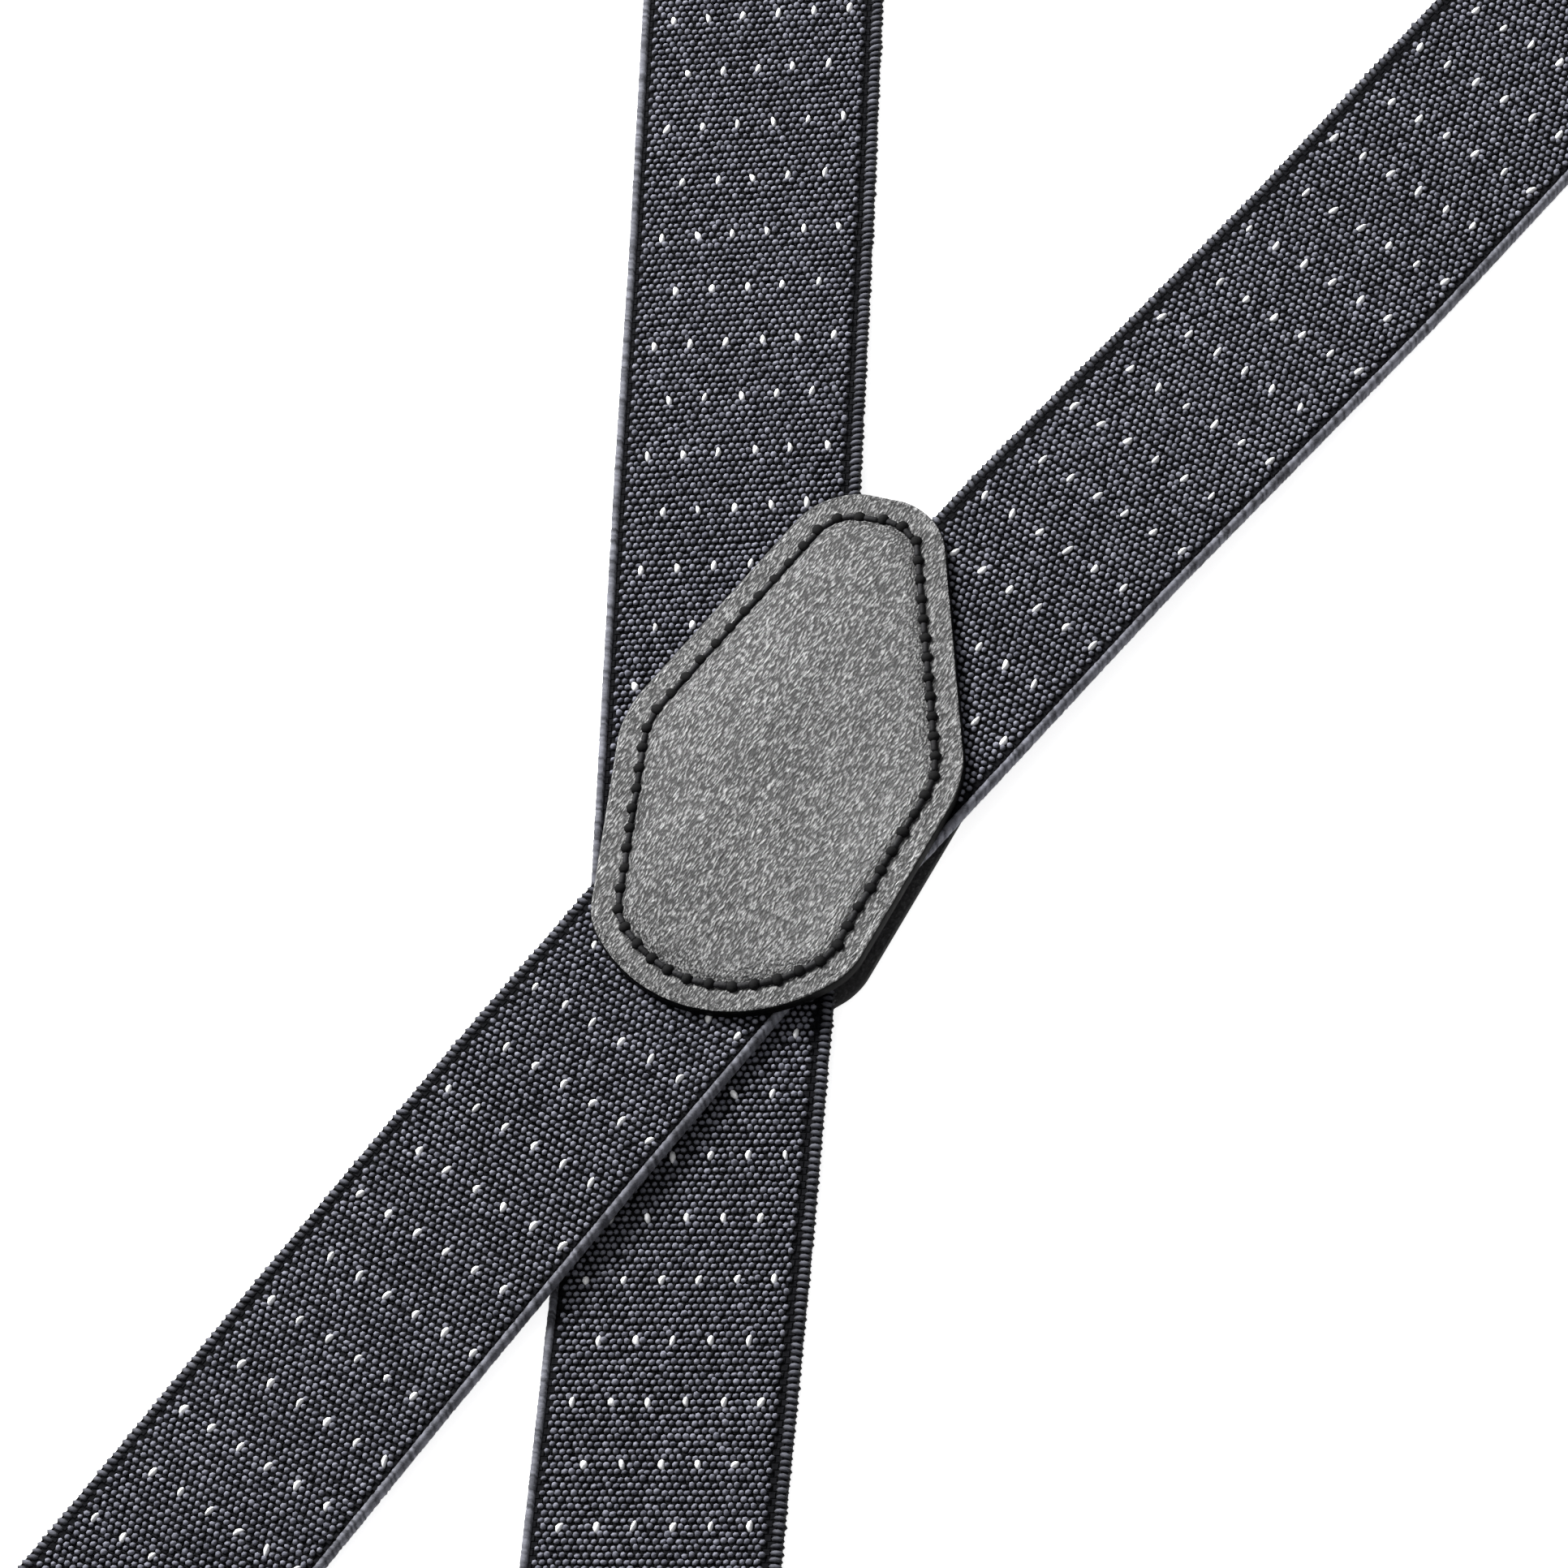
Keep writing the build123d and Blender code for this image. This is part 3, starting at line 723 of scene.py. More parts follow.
def spun(copies: np.ndarray, angle: np.ndarray) -> np.ndarray:
    """Turns the points of each copy about its own Z axis, by one angle a copy."""
    c, s = np.cos(angle), np.sin(angle)
    x = copies[:, :, 0] * c - copies[:, :, 1] * s
    y = copies[:, :, 0] * s + copies[:, :, 1] * c
    return np.stack([x, y, copies[:, :, 2]], axis=2)


def on_leg(angle: float, run: float, across: float) -> tuple[float, float]:
    """Gives the flat place of a point along and across a leg at an angle in radians."""
    c, s = math.cos(angle), math.sin(angle)
    return CROSSING[0] + c * run - s * across, CROSSING[1] + s * run + c * across


# ------------------------------------------------------------------ webbing


class Route:
    """The middle line of a run of webbing, seen from its side, and its leg's direction."""

    def __init__(self, angle: float, line: np.ndarray, origin: float) -> None:
        """Measures the line.

        Args:
            angle: The leg's direction in degrees from +X.
            line: Rows of (along the leg, height), in millimetres.
            origin: Flat distance from the crossing to the line's first point.
        """
        step = np.diff(line, axis=0)
        self.angle = math.radians(angle)
        self.line = line
        self.origin = origin
        self.at = origin + np.concatenate([[0.0], np.cumsum(np.hypot(step[:, 0], step[:, 1]))])
        way = np.gradient(line, self.at, axis=0)
        self.way = way / np.linalg.norm(way, axis=1)[:, None]
        self.end = float(self.at[-1])

    def place(self, cloth: np.ndarray) -> np.ndarray:
        """Lays flat cloth along the line.

        Args:
            cloth: Rows of (along the cloth, across to the leg's left, above its middle).
        Returns:
            Rows of places in the frame, in metres.
        """
        along, across, above = cloth.T
        run = np.interp(along, self.at, self.line[:, 0])
        height = np.interp(along, self.at, self.line[:, 1])
        way_run = np.interp(along, self.at, self.way[:, 0])
        way_up = np.interp(along, self.at, self.way[:, 1])
        run = run - above * way_up
        height = height + above * way_run
        return np.column_stack([*on_leg(self.angle, run, across), height]) * MM

    def point(self, along: float) -> tuple[float, float, float]:
        """Gives the place of the middle of the webbing at a distance along the leg."""
        x, y = on_leg(self.angle, along, 0.0)
        return (x * MM, y * MM, RING_Z * MM)


def level_line(under: tuple[tuple[float, float], ...], start: float, end: float) -> np.ndarray:
    """Lays webbing over what is under it, with soft changes of height.

    Args:
        under: (along, height) of the webbing's underside where it changes slope.
        start: Where the line starts along the leg.
        end: Where it ends.
    Returns:
        Rows of (along, height of the middle), a millimetre apart.
    """
    settle = 6
    reach = np.arange(start - settle, end + settle + 0.5, 1.0)
    height = np.interp(reach, [p[0] for p in under], [p[1] for p in under])
    soft = np.hanning(2 * settle + 3)[1:-1]
    height = np.convolve(height, soft / soft.sum(), mode="valid")
    along = np.arange(start, end + 0.5, 1.0)
    return np.column_stack([along, height + STRAP_THICK / 2])


def turned(along: float, height: float, radius: float, first: float, last: float) -> np.ndarray:
    """Turns webbing round a bar.

    Args:
        along: Where the bar is along the leg.
        height: The bar's height.
        radius: Middle of the webbing to the bar's middle.
        first: Angle of the turn's start in degrees, seen from the leg's right.
        last: Angle of its end.
    Returns:
        Rows of (along, height).
    """
    angles = np.radians(np.linspace(first, last, 25))
    return np.column_stack([along + radius * np.cos(angles), height + radius * np.sin(angles)])


@dataclass(frozen=True)
class Leg:
    """One of the four legs, with what its cloth lies on and where its pattern falls."""

    angle: float  # degrees from +X
    under: tuple[tuple[float, float], ...]
    dot_row: float  # along, of a row of six dots
    dot_pitch: float  # between rows of dots
    centre: float  # across, of the pattern's middle
    cord: Side


@dataclass
class Webbing:
    """A run of woven elastic with raised knots, pin dots, a corded edge and a ribbed one."""

    name: str
    leg: Leg
    route: Route
    node: str | None  # the CAD node it stands for
    body: str
    far_body: str | None  # the body at its far end; the run doesn't bend into it
    bend: tuple[float, float]  # along the leg, where a bend towards far_body would start and end; no bend is made
    show: tuple[float, float]  # flat distance that knots and dots cover
    rests_on: tuple[str, ...]
    knot_pitch: float = 1.012  # across
    band_room: float = 2.35  # from the ribbed edge to the first knots
    cord_room: float = 1.6
    knot_long: float = 0.44
    knot_wide: float = 0.5
    knot_high: float = 0.55
    floor: float = 0.37  # above the cloth's middle, where the knots stand
    dot_pitch: float = 5.06
    dot_long: float = 0.86
    dot_wide: float = 0.46
    dot_high: float = 0.62
    cord_wide: float = 1.3
    band_wide: float = 1.95
    most_knots: int = 10500  # in one piece
    dot_room: float = 1.2  # from the field's long edges to a dot's middle
    knot_room: float = 0.28  # the same for a knot
    wrap_pitch: float = 0.36  # along the cord, of its fine yarn
    wrap_lean: float = 0.7
    wrap_tones: int = 4096

    def rng(self, use: int) -> np.random.Generator:
        """Gives this run's own seeded random numbers for one use."""
        return np.random.default_rng([SEED, sum(map(ord, self.name)), use])

    def bake_map(self, mesh: bpy.types.Mesh, cloth: np.ndarray, centre: np.ndarray) -> None:
        """Gives a mesh of many islands its own bake map, in lanes that keep each whole.

        Args:
            mesh: The mesh, in any place.
            cloth: Flat place of each point.
            centre: Flat place along the cloth of each point's own knot or rib.
        """
        start, end = centre.min() - 1.0, centre.max() + 1.0
        width = np.ptp(cloth[:, 1]) + 1.0
        lanes = max(1, round(math.sqrt((end - start) / width)))
        long = (end - start) / lanes + 2.0
        lane = np.floor((centre - start) / ((end - start) / lanes)).clip(0, lanes - 1)
        u = (cloth[:, 0] - start - lane * (end - start) / lanes + 1.0) / long
        v = (cloth[:, 1] - cloth[:, 1].min() + 0.5 + lane * width) / (lanes * width)
        set_map(mesh, "OFBake", np.column_stack([u, v]).clip(0, 1))

    def move(self, piece: bpy.types.Object) -> bpy.types.Object:
        """Makes a piece of this run move with its body; with a far body, its place is only baked in and it
        moves with none.
        """
        if self.far_body is None:
            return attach(piece, self.body)
        start, end = self.route.point(self.bend[0]), self.route.point(self.bend[1])
        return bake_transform(piece)

    def bricks(self, steps: tuple[float, float], first: float, sides: tuple[int, int]) -> tuple[object, int]:
        """Makes a field of domes in brick places over the shown length.

        Args:
            steps: Distance between domes across and between rows along.
            first: Flat distance of a row whose domes sit between the middle line's.
            sides: Segments and rings of each dome's ball.
        Returns:
            The flat mesh of unit domes, and the points in each dome.
        """
        one = dome(*sides)
        columns = 2 * math.ceil((STRAP_WIDTH / 2 + abs(self.leg.centre)) / steps[0]) + 3
        low = math.floor((self.show[0] - first) / (2 * steps[1]))
        high = math.ceil((self.show[1] - first) / (2 * steps[1]))
        pair = (2, (steps[1], steps[0] / 2))
        across = (columns, (0.0, steps[0]))
        along = (high - low + 1, (2 * steps[1], 0.0))
        mesh = repeated(one, pair, across, along)
        move = (first + 2 * steps[1] * low, self.leg.centre - (columns // 2 + 0.5) * steps[0], 0.0)
        mesh.transform(Matrix.Translation(move))
        return mesh, len(one.vertices)

    def thinned(self, mesh: bpy.types.Mesh, keep: np.ndarray, each: int) -> bpy.types.Mesh:
        """Takes away the copies that aren't kept.

        Args:
            mesh: Mesh of equal copies.
            keep: Whether each copy is kept.
            each: Points in each copy.
        Returns:
            The same mesh, with fewer points.
        """
        bm = bmesh.new()
        bm.from_mesh(mesh)
        bm.verts.ensure_lookup_table()
        lost = [bm.verts[i] for i in np.flatnonzero(np.repeat(~keep, each))]
        bmesh.ops.delete(bm, geom=lost, context="VERTS")
        bm.to_mesh(mesh)
        bm.free()
        return mesh

    def dot_places(self) -> np.ndarray:
        """Gives the flat places of the dots that the field has room for."""
        mesh, each = self.bricks((self.dot_pitch, self.leg.dot_pitch), self.leg.dot_row, (6, 4))
        middle = places(mesh).reshape(-1, each, 3)[:, :, :2].mean(axis=1)
        return middle[self.inside(middle, self.dot_room)]

    def inside(self, middle: np.ndarray, room: float) -> np.ndarray:
        """Says which flat places lie in the field, at least room from its long edges."""
        side = middle[:, 1] * self.leg.cord.value
        off_cord = side < STRAP_WIDTH / 2 - self.cord_room - room
        off_band = side > self.band_room + room - STRAP_WIDTH / 2
        return off_cord & off_band & (middle[:, 0] > self.show[0]) & (middle[:, 0] < self.show[1])

    def shaped(self, flat: np.ndarray, size: tuple[float, float, float], use: int, turn: float) -> np.ndarray:
        """Gives unit domes their size, lean and small differences.

        Args:
            flat: Domes as (copy, point, 3), each still of radius 1.
            size: Half length, half width and height.
            use: Number of the random stream.
            turn: Standard deviation of the turn, in radians.
        Returns:
            The domes as (copy, point, 3) on the cloth.
        """
        rng = self.rng(use)
        count = len(flat)
        middle = flat.mean(axis=1, keepdims=True) * (1.0, 1.0, 0.0)
        own = flat - middle
        own = own * np.array(size) * rng.normal(1.0, 0.09, (count, 1, 3)).clip(0.75, 1.22)
        own[:, :, 0] += own[:, :, 2] * rng.normal(0.0, 0.22, (count, 1))
        angle = rng.normal(0.25 if use == 1 else 0.0, turn, (count, 1))
        own = spun(own, angle)
        own[:, :, 2] += self.floor
        drift = rng.normal(0.0, 0.05, (count, 1, 3)) * (1.0, 1.0, 0.45)
        return own + middle + drift

    def knots(self) -> list[bpy.types.Object]:
        """Makes the raised knots, in as many pieces as their count needs.

        Returns:
            The pieces.
        """
        step = self.leg.dot_pitch / KNOT_ROWS
        mesh, each = self.bricks((self.knot_pitch, step), self.leg.dot_row, (6, 4))
        middle = places(mesh).reshape(-1, each, 3)[:, :, :2].mean(axis=1)
        keep = self.inside(middle, self.knot_room)
        dots = self.dot_places()
        for row in np.unique(dots[:, 0].round(2)):
            near = np.flatnonzero(np.abs(middle[:, 0] - row) < 0.4 * step)
            row_dots = dots[np.abs(dots[:, 0] - row) < 0.1, 1]
            gap = np.abs(middle[near, 1][:, None] - row_dots[None, :]).min(axis=1)
            keep[near[gap < 0.3]] = False
        shares = math.ceil(keep.sum() / self.most_knots)
        cuts = np.linspace(self.show[0], self.show[1], shares + 1)
        pieces = []
        for share in range(shares):
            mine = keep & (middle[:, 0] >= cuts[share]) & (middle[:, 0] < cuts[share + 1])
            part = self.thinned(mesh.copy(), mine, each)
            size = (self.knot_long, self.knot_wide, self.knot_high)
            domes = self.shaped(places(part).reshape(-1, each, 3), size, 1, 0.3)
            tail = f"_{share + 1}" if shares > 1 else ""
            pieces.append(self.laid(f"{self.name}_knots{tail}", part, domes, "knot", 10 + share))
        return pieces

    def laid(
        self, name: str, mesh: bpy.types.Mesh, copies: np.ndarray, finish: str, use: int
    ) -> bpy.types.Object:
        """Lays flat copies along the route and finishes them as one piece.

        Args:
            name: The piece's name.
            mesh: Mesh of equal copies.
            copies: Flat places as (copy, point, 3).
            finish: Key of its finish.
            use: Number of the random stream for its tones.
        Returns:
            The piece.
        """
        count, each = copies.shape[:2]
        cloth = copies.reshape(-1, 3)
        self.bake_map(mesh, cloth, np.repeat(copies[:, :, 0].mean(axis=1), each))
        set_values(mesh, "Tone", np.repeat(self.rng(use).beta(2.2, 2.2, count), each))
        # Rise, the height up each knot, drives the painted shade at its foot
        set_values(mesh, "Rise", ((cloth[:, 2] - self.floor) / self.knot_high).clip(0, 1))
        set_places(mesh, self.route.place(cloth))
        smooth(mesh)
        return self.move(finished(name, mesh, "webbing", finish))

    def dots(self) -> list[bpy.types.Object]:
        """Makes the white pin dots, longer than the knots and drawn in at one end.

        Returns:
            The piece, or none on a run that falls between two rows.
        """
        mesh, each = self.bricks((self.dot_pitch, self.leg.dot_pitch), self.leg.dot_row, (8, 6))
        middle = places(mesh).reshape(-1, each, 3)[:, :, :2].mean(axis=1)
        keep = self.inside(middle, self.dot_room)
        if not keep.any():
            return []
        mesh = self.thinned(mesh, keep, each)
        flat = places(mesh).reshape(-1, each, 3)
        own = flat - flat.mean(axis=1, keepdims=True) * (1.0, 1.0, 0.0)
        curl = self.rng(2).normal(0.3, 0.25, (len(flat), 1))
        flat[:, :, 1] += curl * own[:, :, 0] ** 2 - own[:, :, 1] * 0.3 * own[:, :, 0].clip(0, 1)
        copies = self.shaped(flat, (self.dot_long, self.dot_wide, self.dot_high), 3, 0.22)
        return [self.laid(f"{self.name}_dots", mesh, copies, "dot", 4)]

    def ribs(self) -> bpy.types.Object:
        """Makes the ribbed edge: one rounded rib for each row of knots.

        Returns:
            The piece.
        """
        bm = bmesh.new()
        bmesh.ops.create_uvsphere(bm, u_segments=8, v_segments=5, radius=1.0)
        one = to_mesh(bm, "rib")
        each = len(one.vertices)
        step = self.leg.dot_pitch / KNOT_ROWS
        count = int((self.route.end - self.route.origin - 0.6) / step)
        mesh = repeated(one, (count, (step, 0.0)))
        flat = places(mesh).reshape(-1, each, 3)
        middle = flat.mean(axis=1, keepdims=True)
        rng = self.rng(5)
        own = (flat - middle) * (0.5, self.band_wide / 2, 0.8)
        own *= rng.normal(1.0, 0.05, (count, 1, 3))
        side = -self.leg.cord.value
        edge = STRAP_WIDTH / 2 - self.band_wide / 2 - 0.04
        lean = rng.normal(0.12, 0.08, (count, 1)) * own[:, :, 1] * side
        copies = own + middle
        copies[:, :, 0] += self.route.origin + step / 2 + 0.3 + lean
        copies[:, :, 1] += side * (edge - 0.12 * rng.random((count, 1)))
        copies[:, :, 2] += 0.02
        return self.laid(f"{self.name}_ribbed_edge", mesh, copies, "rib", 6)

    def cord(self) -> bpy.types.Object:
        """Makes the corded edge: a round cord wrapped with fine yarn.

        Returns:
            The piece.
        """
        long = self.route.end - self.route.origin
        cuts = int(long / self.wrap_pitch)
        bm = rod(long, 10, cuts)
        bmesh.ops.recalc_face_normals(bm, faces=bm.faces)
        mesh = to_mesh(bm, "cord")
        cloth = places(mesh)
        ring = np.round((cloth[:, 0] + long / 2) / (long / (cuts + 1))).astype(int)
        swell = self.rng(7).normal(1.0, 0.035, ring.max() + 1)[ring] + 0.03 * np.where(ring % 2, 1, -1)
        around = np.arctan2(cloth[:, 2], cloth[:, 1])
        side = self.leg.cord.value
        cloth[:, 0] += self.route.origin + long / 2
        cloth[:, 1] = side * (STRAP_WIDTH / 2 - self.cord_wide / 2) + cloth[:, 1] * swell * self.cord_wide / 2
        cloth[:, 2] = cloth[:, 2] * swell * (STRAP_THICK / 2 - 0.06)
        flat = np.column_stack([cloth[:, 0], around, np.zeros(len(cloth))])
        self.bake_map(mesh, flat * (1, 0.65, 0), cloth[:, 0])
        turns = (cloth[:, 0] - self.route.origin) / self.wrap_pitch + around * self.wrap_lean
        wrap = np.round(turns).astype(int) % self.wrap_tones
        set_values(mesh, "Tone", self.rng(8).beta(1.3, 1.3, self.wrap_tones)[wrap])
        set_places(mesh, self.route.place(cloth))
        smooth(mesh, 60)
        return self.move(finished(f"{self.name}_corded_edge", mesh, "webbing", "cord"))

    def ground(self) -> bpy.types.Object:
        """Makes the ground cloth, flat above and with weft ribs below.

        Returns:
            The piece, which stands for the CAD node if there is one.
        """
        long = self.route.end - self.route.origin
        rows = int(long / (self.leg.dot_pitch / (2 * KNOT_ROWS)))
        half = STRAP_WIDTH / 2 - 0.5
        bm = bmesh.new()
        bmesh.ops.create_grid(bm, x_segments=rows, y_segments=4, size=0.5)
        bmesh.ops.scale(bm, vec=(long, 2 * half, 1.0), verts=bm.verts)
        bmesh.ops.solidify(bm, geom=bm.faces[:], thickness=1.0)
        low = min(v.co.z for v in bm.verts)
        bmesh.ops.translate(bm, verts=bm.verts, vec=(self.route.origin + long / 2, 0.0, -low))
        bmesh.ops.recalc_face_normals(bm, faces=bm.faces)
        mesh = to_mesh(bm, "ground")
        cloth = places(mesh)
        top = cloth[:, 2] > 0.5
        row = np.round((cloth[:, 0] - self.route.origin) / (long / rows)).astype(int)
        rib = np.where(row % 2 == 0, 0.0, 0.16)
        cloth[:, 2] = np.where(top, self.floor + 0.03, -STRAP_THICK / 2 + 0.02 + rib)
        set_map(mesh, "Cloth", np.column_stack([cloth[:, 1], cloth[:, 0]]) / 10)
        set_values(mesh, "Under", np.where(top, 0.0, 1.0))
        set_places(mesh, self.route.place(cloth))
        smooth(mesh, 40)
        piece = finished(f"{self.name}_cloth", mesh, "webbing", "ground")
        if self.node is not None:
            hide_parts(self.node)
        return self.move(piece)

    def make(self) -> list[bpy.types.Object]:
        """Builds every piece of this run.

        Returns:
            The pieces, the ground cloth first.
        """
        parts = [self.ground(), *self.knots(), *self.dots(), self.ribs(), self.cord()]
        LOG.info("%s: %d pieces, %.0f mm of cloth", self.name, len(parts), self.route.end - self.route.origin)
        return parts

    def build(self, more: tuple[bpy.types.Object, ...] = ()) -> None:
        """Builds every piece of this run.

        Args:
            more: Not used.
        """
        cloth, *parts = self.make()


LEGS = {
    "left_front": Leg(
        106.2, ((-30, 1.4), (72, 1.4), (112, 0), *FRONT_RISE), 92.6, 9.19, 0.1, Side.LEFT,
    ),
    "left_rear": Leg(
        -76.7, ((-30, 1.4), (20, 1.4), (50, 0), *REAR_RISE), 70.9, 8.97, -0.15, Side.RIGHT,
    ),
    "right_front": Leg(
        66.4, ((-30, 3.2), (74, 3.2), (130, 0), *FRONT_RISE), 107.7, 9.19, 0.85, Side.RIGHT,
    ),
    "right_rear": Leg(
        -110.9, ((-30, 3.2), (36, 3.2), (76, 2.0), (118, 0), *REAR_RISE), 58.9, 9.29, -0.65, Side.LEFT,
    ),
}


class FrontStrap:
    """One front strap: the long upper layer, its turn round the ring and its return."""

    def __init__(self, side: str) -> None:
        """Names the strap.

        Args:
            side: left or right, the wearer's.
        """
        self.side = side
        self.leg = LEGS[f"{side}_front"]

    def build(self) -> None:
        """Builds the three runs of the strap."""
        side, leg = self.side, self.leg
        upper = Route(leg.angle, level_line(leg.under, CLOTH_START, FRONT_RING_AT), CLOTH_START)
        turn = Route(leg.angle, turned(FRONT_RING_AT, RING_Z, TURN_R, 90, -90), upper.end)
        bight = Webbing(
            f"{side}_front_ring_turn", leg, turn, f"{side}_front_ring_turn", f"{side}_front_end", None,
            (0.0, 0.0), (turn.origin + 0.2, turn.end - 0.2), (),
        ).make()
        Webbing(
            f"{side}_front_strap", leg, upper, f"{side}_front_strap", "root", f"{side}_front_end",
            (150.0, 640.0), (-6.0, FRONT_RING_AT - 0.3), ("patch_back_leather", f"{side}_front_ring"),
        ).build(tuple(bight))
        back = np.array([[at, STRAP_THICK / 2] for at in np.arange(FRONT_RING_AT, BAR_AT, -1.0)])
        round_bar = turned(BAR_AT, BAR_Z, BAR_TURN_R, 270, 90)
        tail = np.array([[459.4, 4.0], [463.4, 3.5], [467.4, 2.9], [471.0, 2.8], [477.2, 2.8]])
        line = np.vstack([back, round_bar, tail])
        low = Route(leg.angle, line, turn.end)
        Webbing(
            f"{side}_front_return_strap", leg, low, f"{side}_front_return_strap", f"{side}_front_end",
            f"{side}_adjuster", (650.0, 490.0), (low.origin + 0.3, low.end - 0.6), (f"{side}_front_ring",),
        ).build()


class RearStrap:
    """One rear strap: from the patch, round its ring and sewn back on itself."""

    def __init__(self, side: str) -> None:
        """Names the strap.

        Args:
            side: left or right, the wearer's.
        """
        self.side = side
        self.leg = LEGS[f"{side}_rear"]

    def build(self) -> None:
        """Builds the strap in one run."""
        side, leg = self.side, self.leg
        upper = level_line(leg.under, CLOTH_START, REAR_RING_AT)
        turn = turned(REAR_RING_AT, RING_Z, TURN_R, 90, -90)[1:]
        fold = np.array([[at, STRAP_THICK / 2] for at in np.arange(REAR_RING_AT - 1.0, 209.5, -1.0)])
        route = Route(leg.angle, np.vstack([upper, turn, fold]), CLOTH_START)
        Webbing(
            f"{side}_rear_strap", leg, route, f"{side}_rear_strap", "root", None, (0.0, 0.0),
            (6.0, route.end - 0.6), ("patch_back_leather", f"{side}_rear_ring"),
        ).build()


# ------------------------------------------------------------------ patch


@dataclass
class StitchRow:
    """Short twisted stitches with a tight black knot where each goes into the leather."""

    long: float = 2.2
    radius: float = 0.44
    knot: float = 0.9
    twist: float = 2.2  # turns of the two plies over a stitch
    knot_points: int = 42  # in the mesh of the knot's ball

    def one(self) -> bpy.types.Mesh:
        """Makes one stitch along X, with its knot at the far end.

        Returns:
            The mesh, in millimetres.
        """
        bm = rod(self.long, 8, 11)
        for vert in bm.verts:
            share = vert.co.x / self.long
            around = math.atan2(vert.co.z, vert.co.y) + 2 * math.pi * self.twist * share
            ply = 0.76 + 0.3 * abs(math.cos(around))
            ends = math.sqrt(max(0.0, 1 - (2 * share) ** 6)) * 0.75 + 0.25
            vert.co.y *= self.radius * ply * ends
            vert.co.z = vert.co.z * self.radius * ply * ends - 0.9 * self.radius * abs(2 * share) ** 5
        first = len(bm.verts)
        bmesh.ops.create_uvsphere(bm, u_segments=8, v_segments=6, radius=self.knot)
        bm.verts.ensure_lookup_table()
        ball = bm.verts[first:]
        bmesh.ops.scale(bm, vec=(0.95, 1.0, 0.6), verts=ball)
        bmesh.ops.translate(bm, verts=ball, vec=(self.long / 2 + 0.42, 0.0, 0.0))
        bmesh.ops.recalc_face_normals(bm, faces=bm.faces)
        return to_mesh(bm, "stitch")

    def sew(self, name: str, at: np.ndarray, way: np.ndarray, flip: Face) -> bpy.types.Object:
        """Sews a stitch at every place.

        Args:
            name: The piece's name.
            at: Rows of places, in millimetres.
            way: Rows of flat directions.
            flip: OUTER for stitches that face up, INNER for down.
        Returns:
            The piece, in place.
        """
        mesh = repeated(self.one(), (len(at), (self.long, 0.0)))
        each = len(mesh.vertices) // len(at)
        own = places(mesh).reshape(-1, each, 3)
        own[:, :, 0] -= self.long * np.arange(len(at))[:, None]
        rng = np.random.default_rng([SEED, len(at), flip.value + 2])
        own = own * rng.normal(1.0, 0.05, (len(at), 1, 3)) * (1.0, 1.0, flip.value)
        angle = np.arctan2(way[:, 1], way[:, 0])[:, None] + rng.normal(0.0, 0.05, (len(at), 1))
        laid = spun(own, angle) + at[:, None, :]
        set_places(mesh, laid.reshape(-1, 3) * MM)
        if flip is Face.INNER:
            mesh.flip_normals()
        tight = np.arange(each) >= each - self.knot_points
        set_values(mesh, "Tone", np.where(tight, 0.02, 0.2 + 0.7 * rng.random((len(at), 1))).ravel())
        smooth(mesh, 70)
        return finished(name, mesh, "thread", "thread")


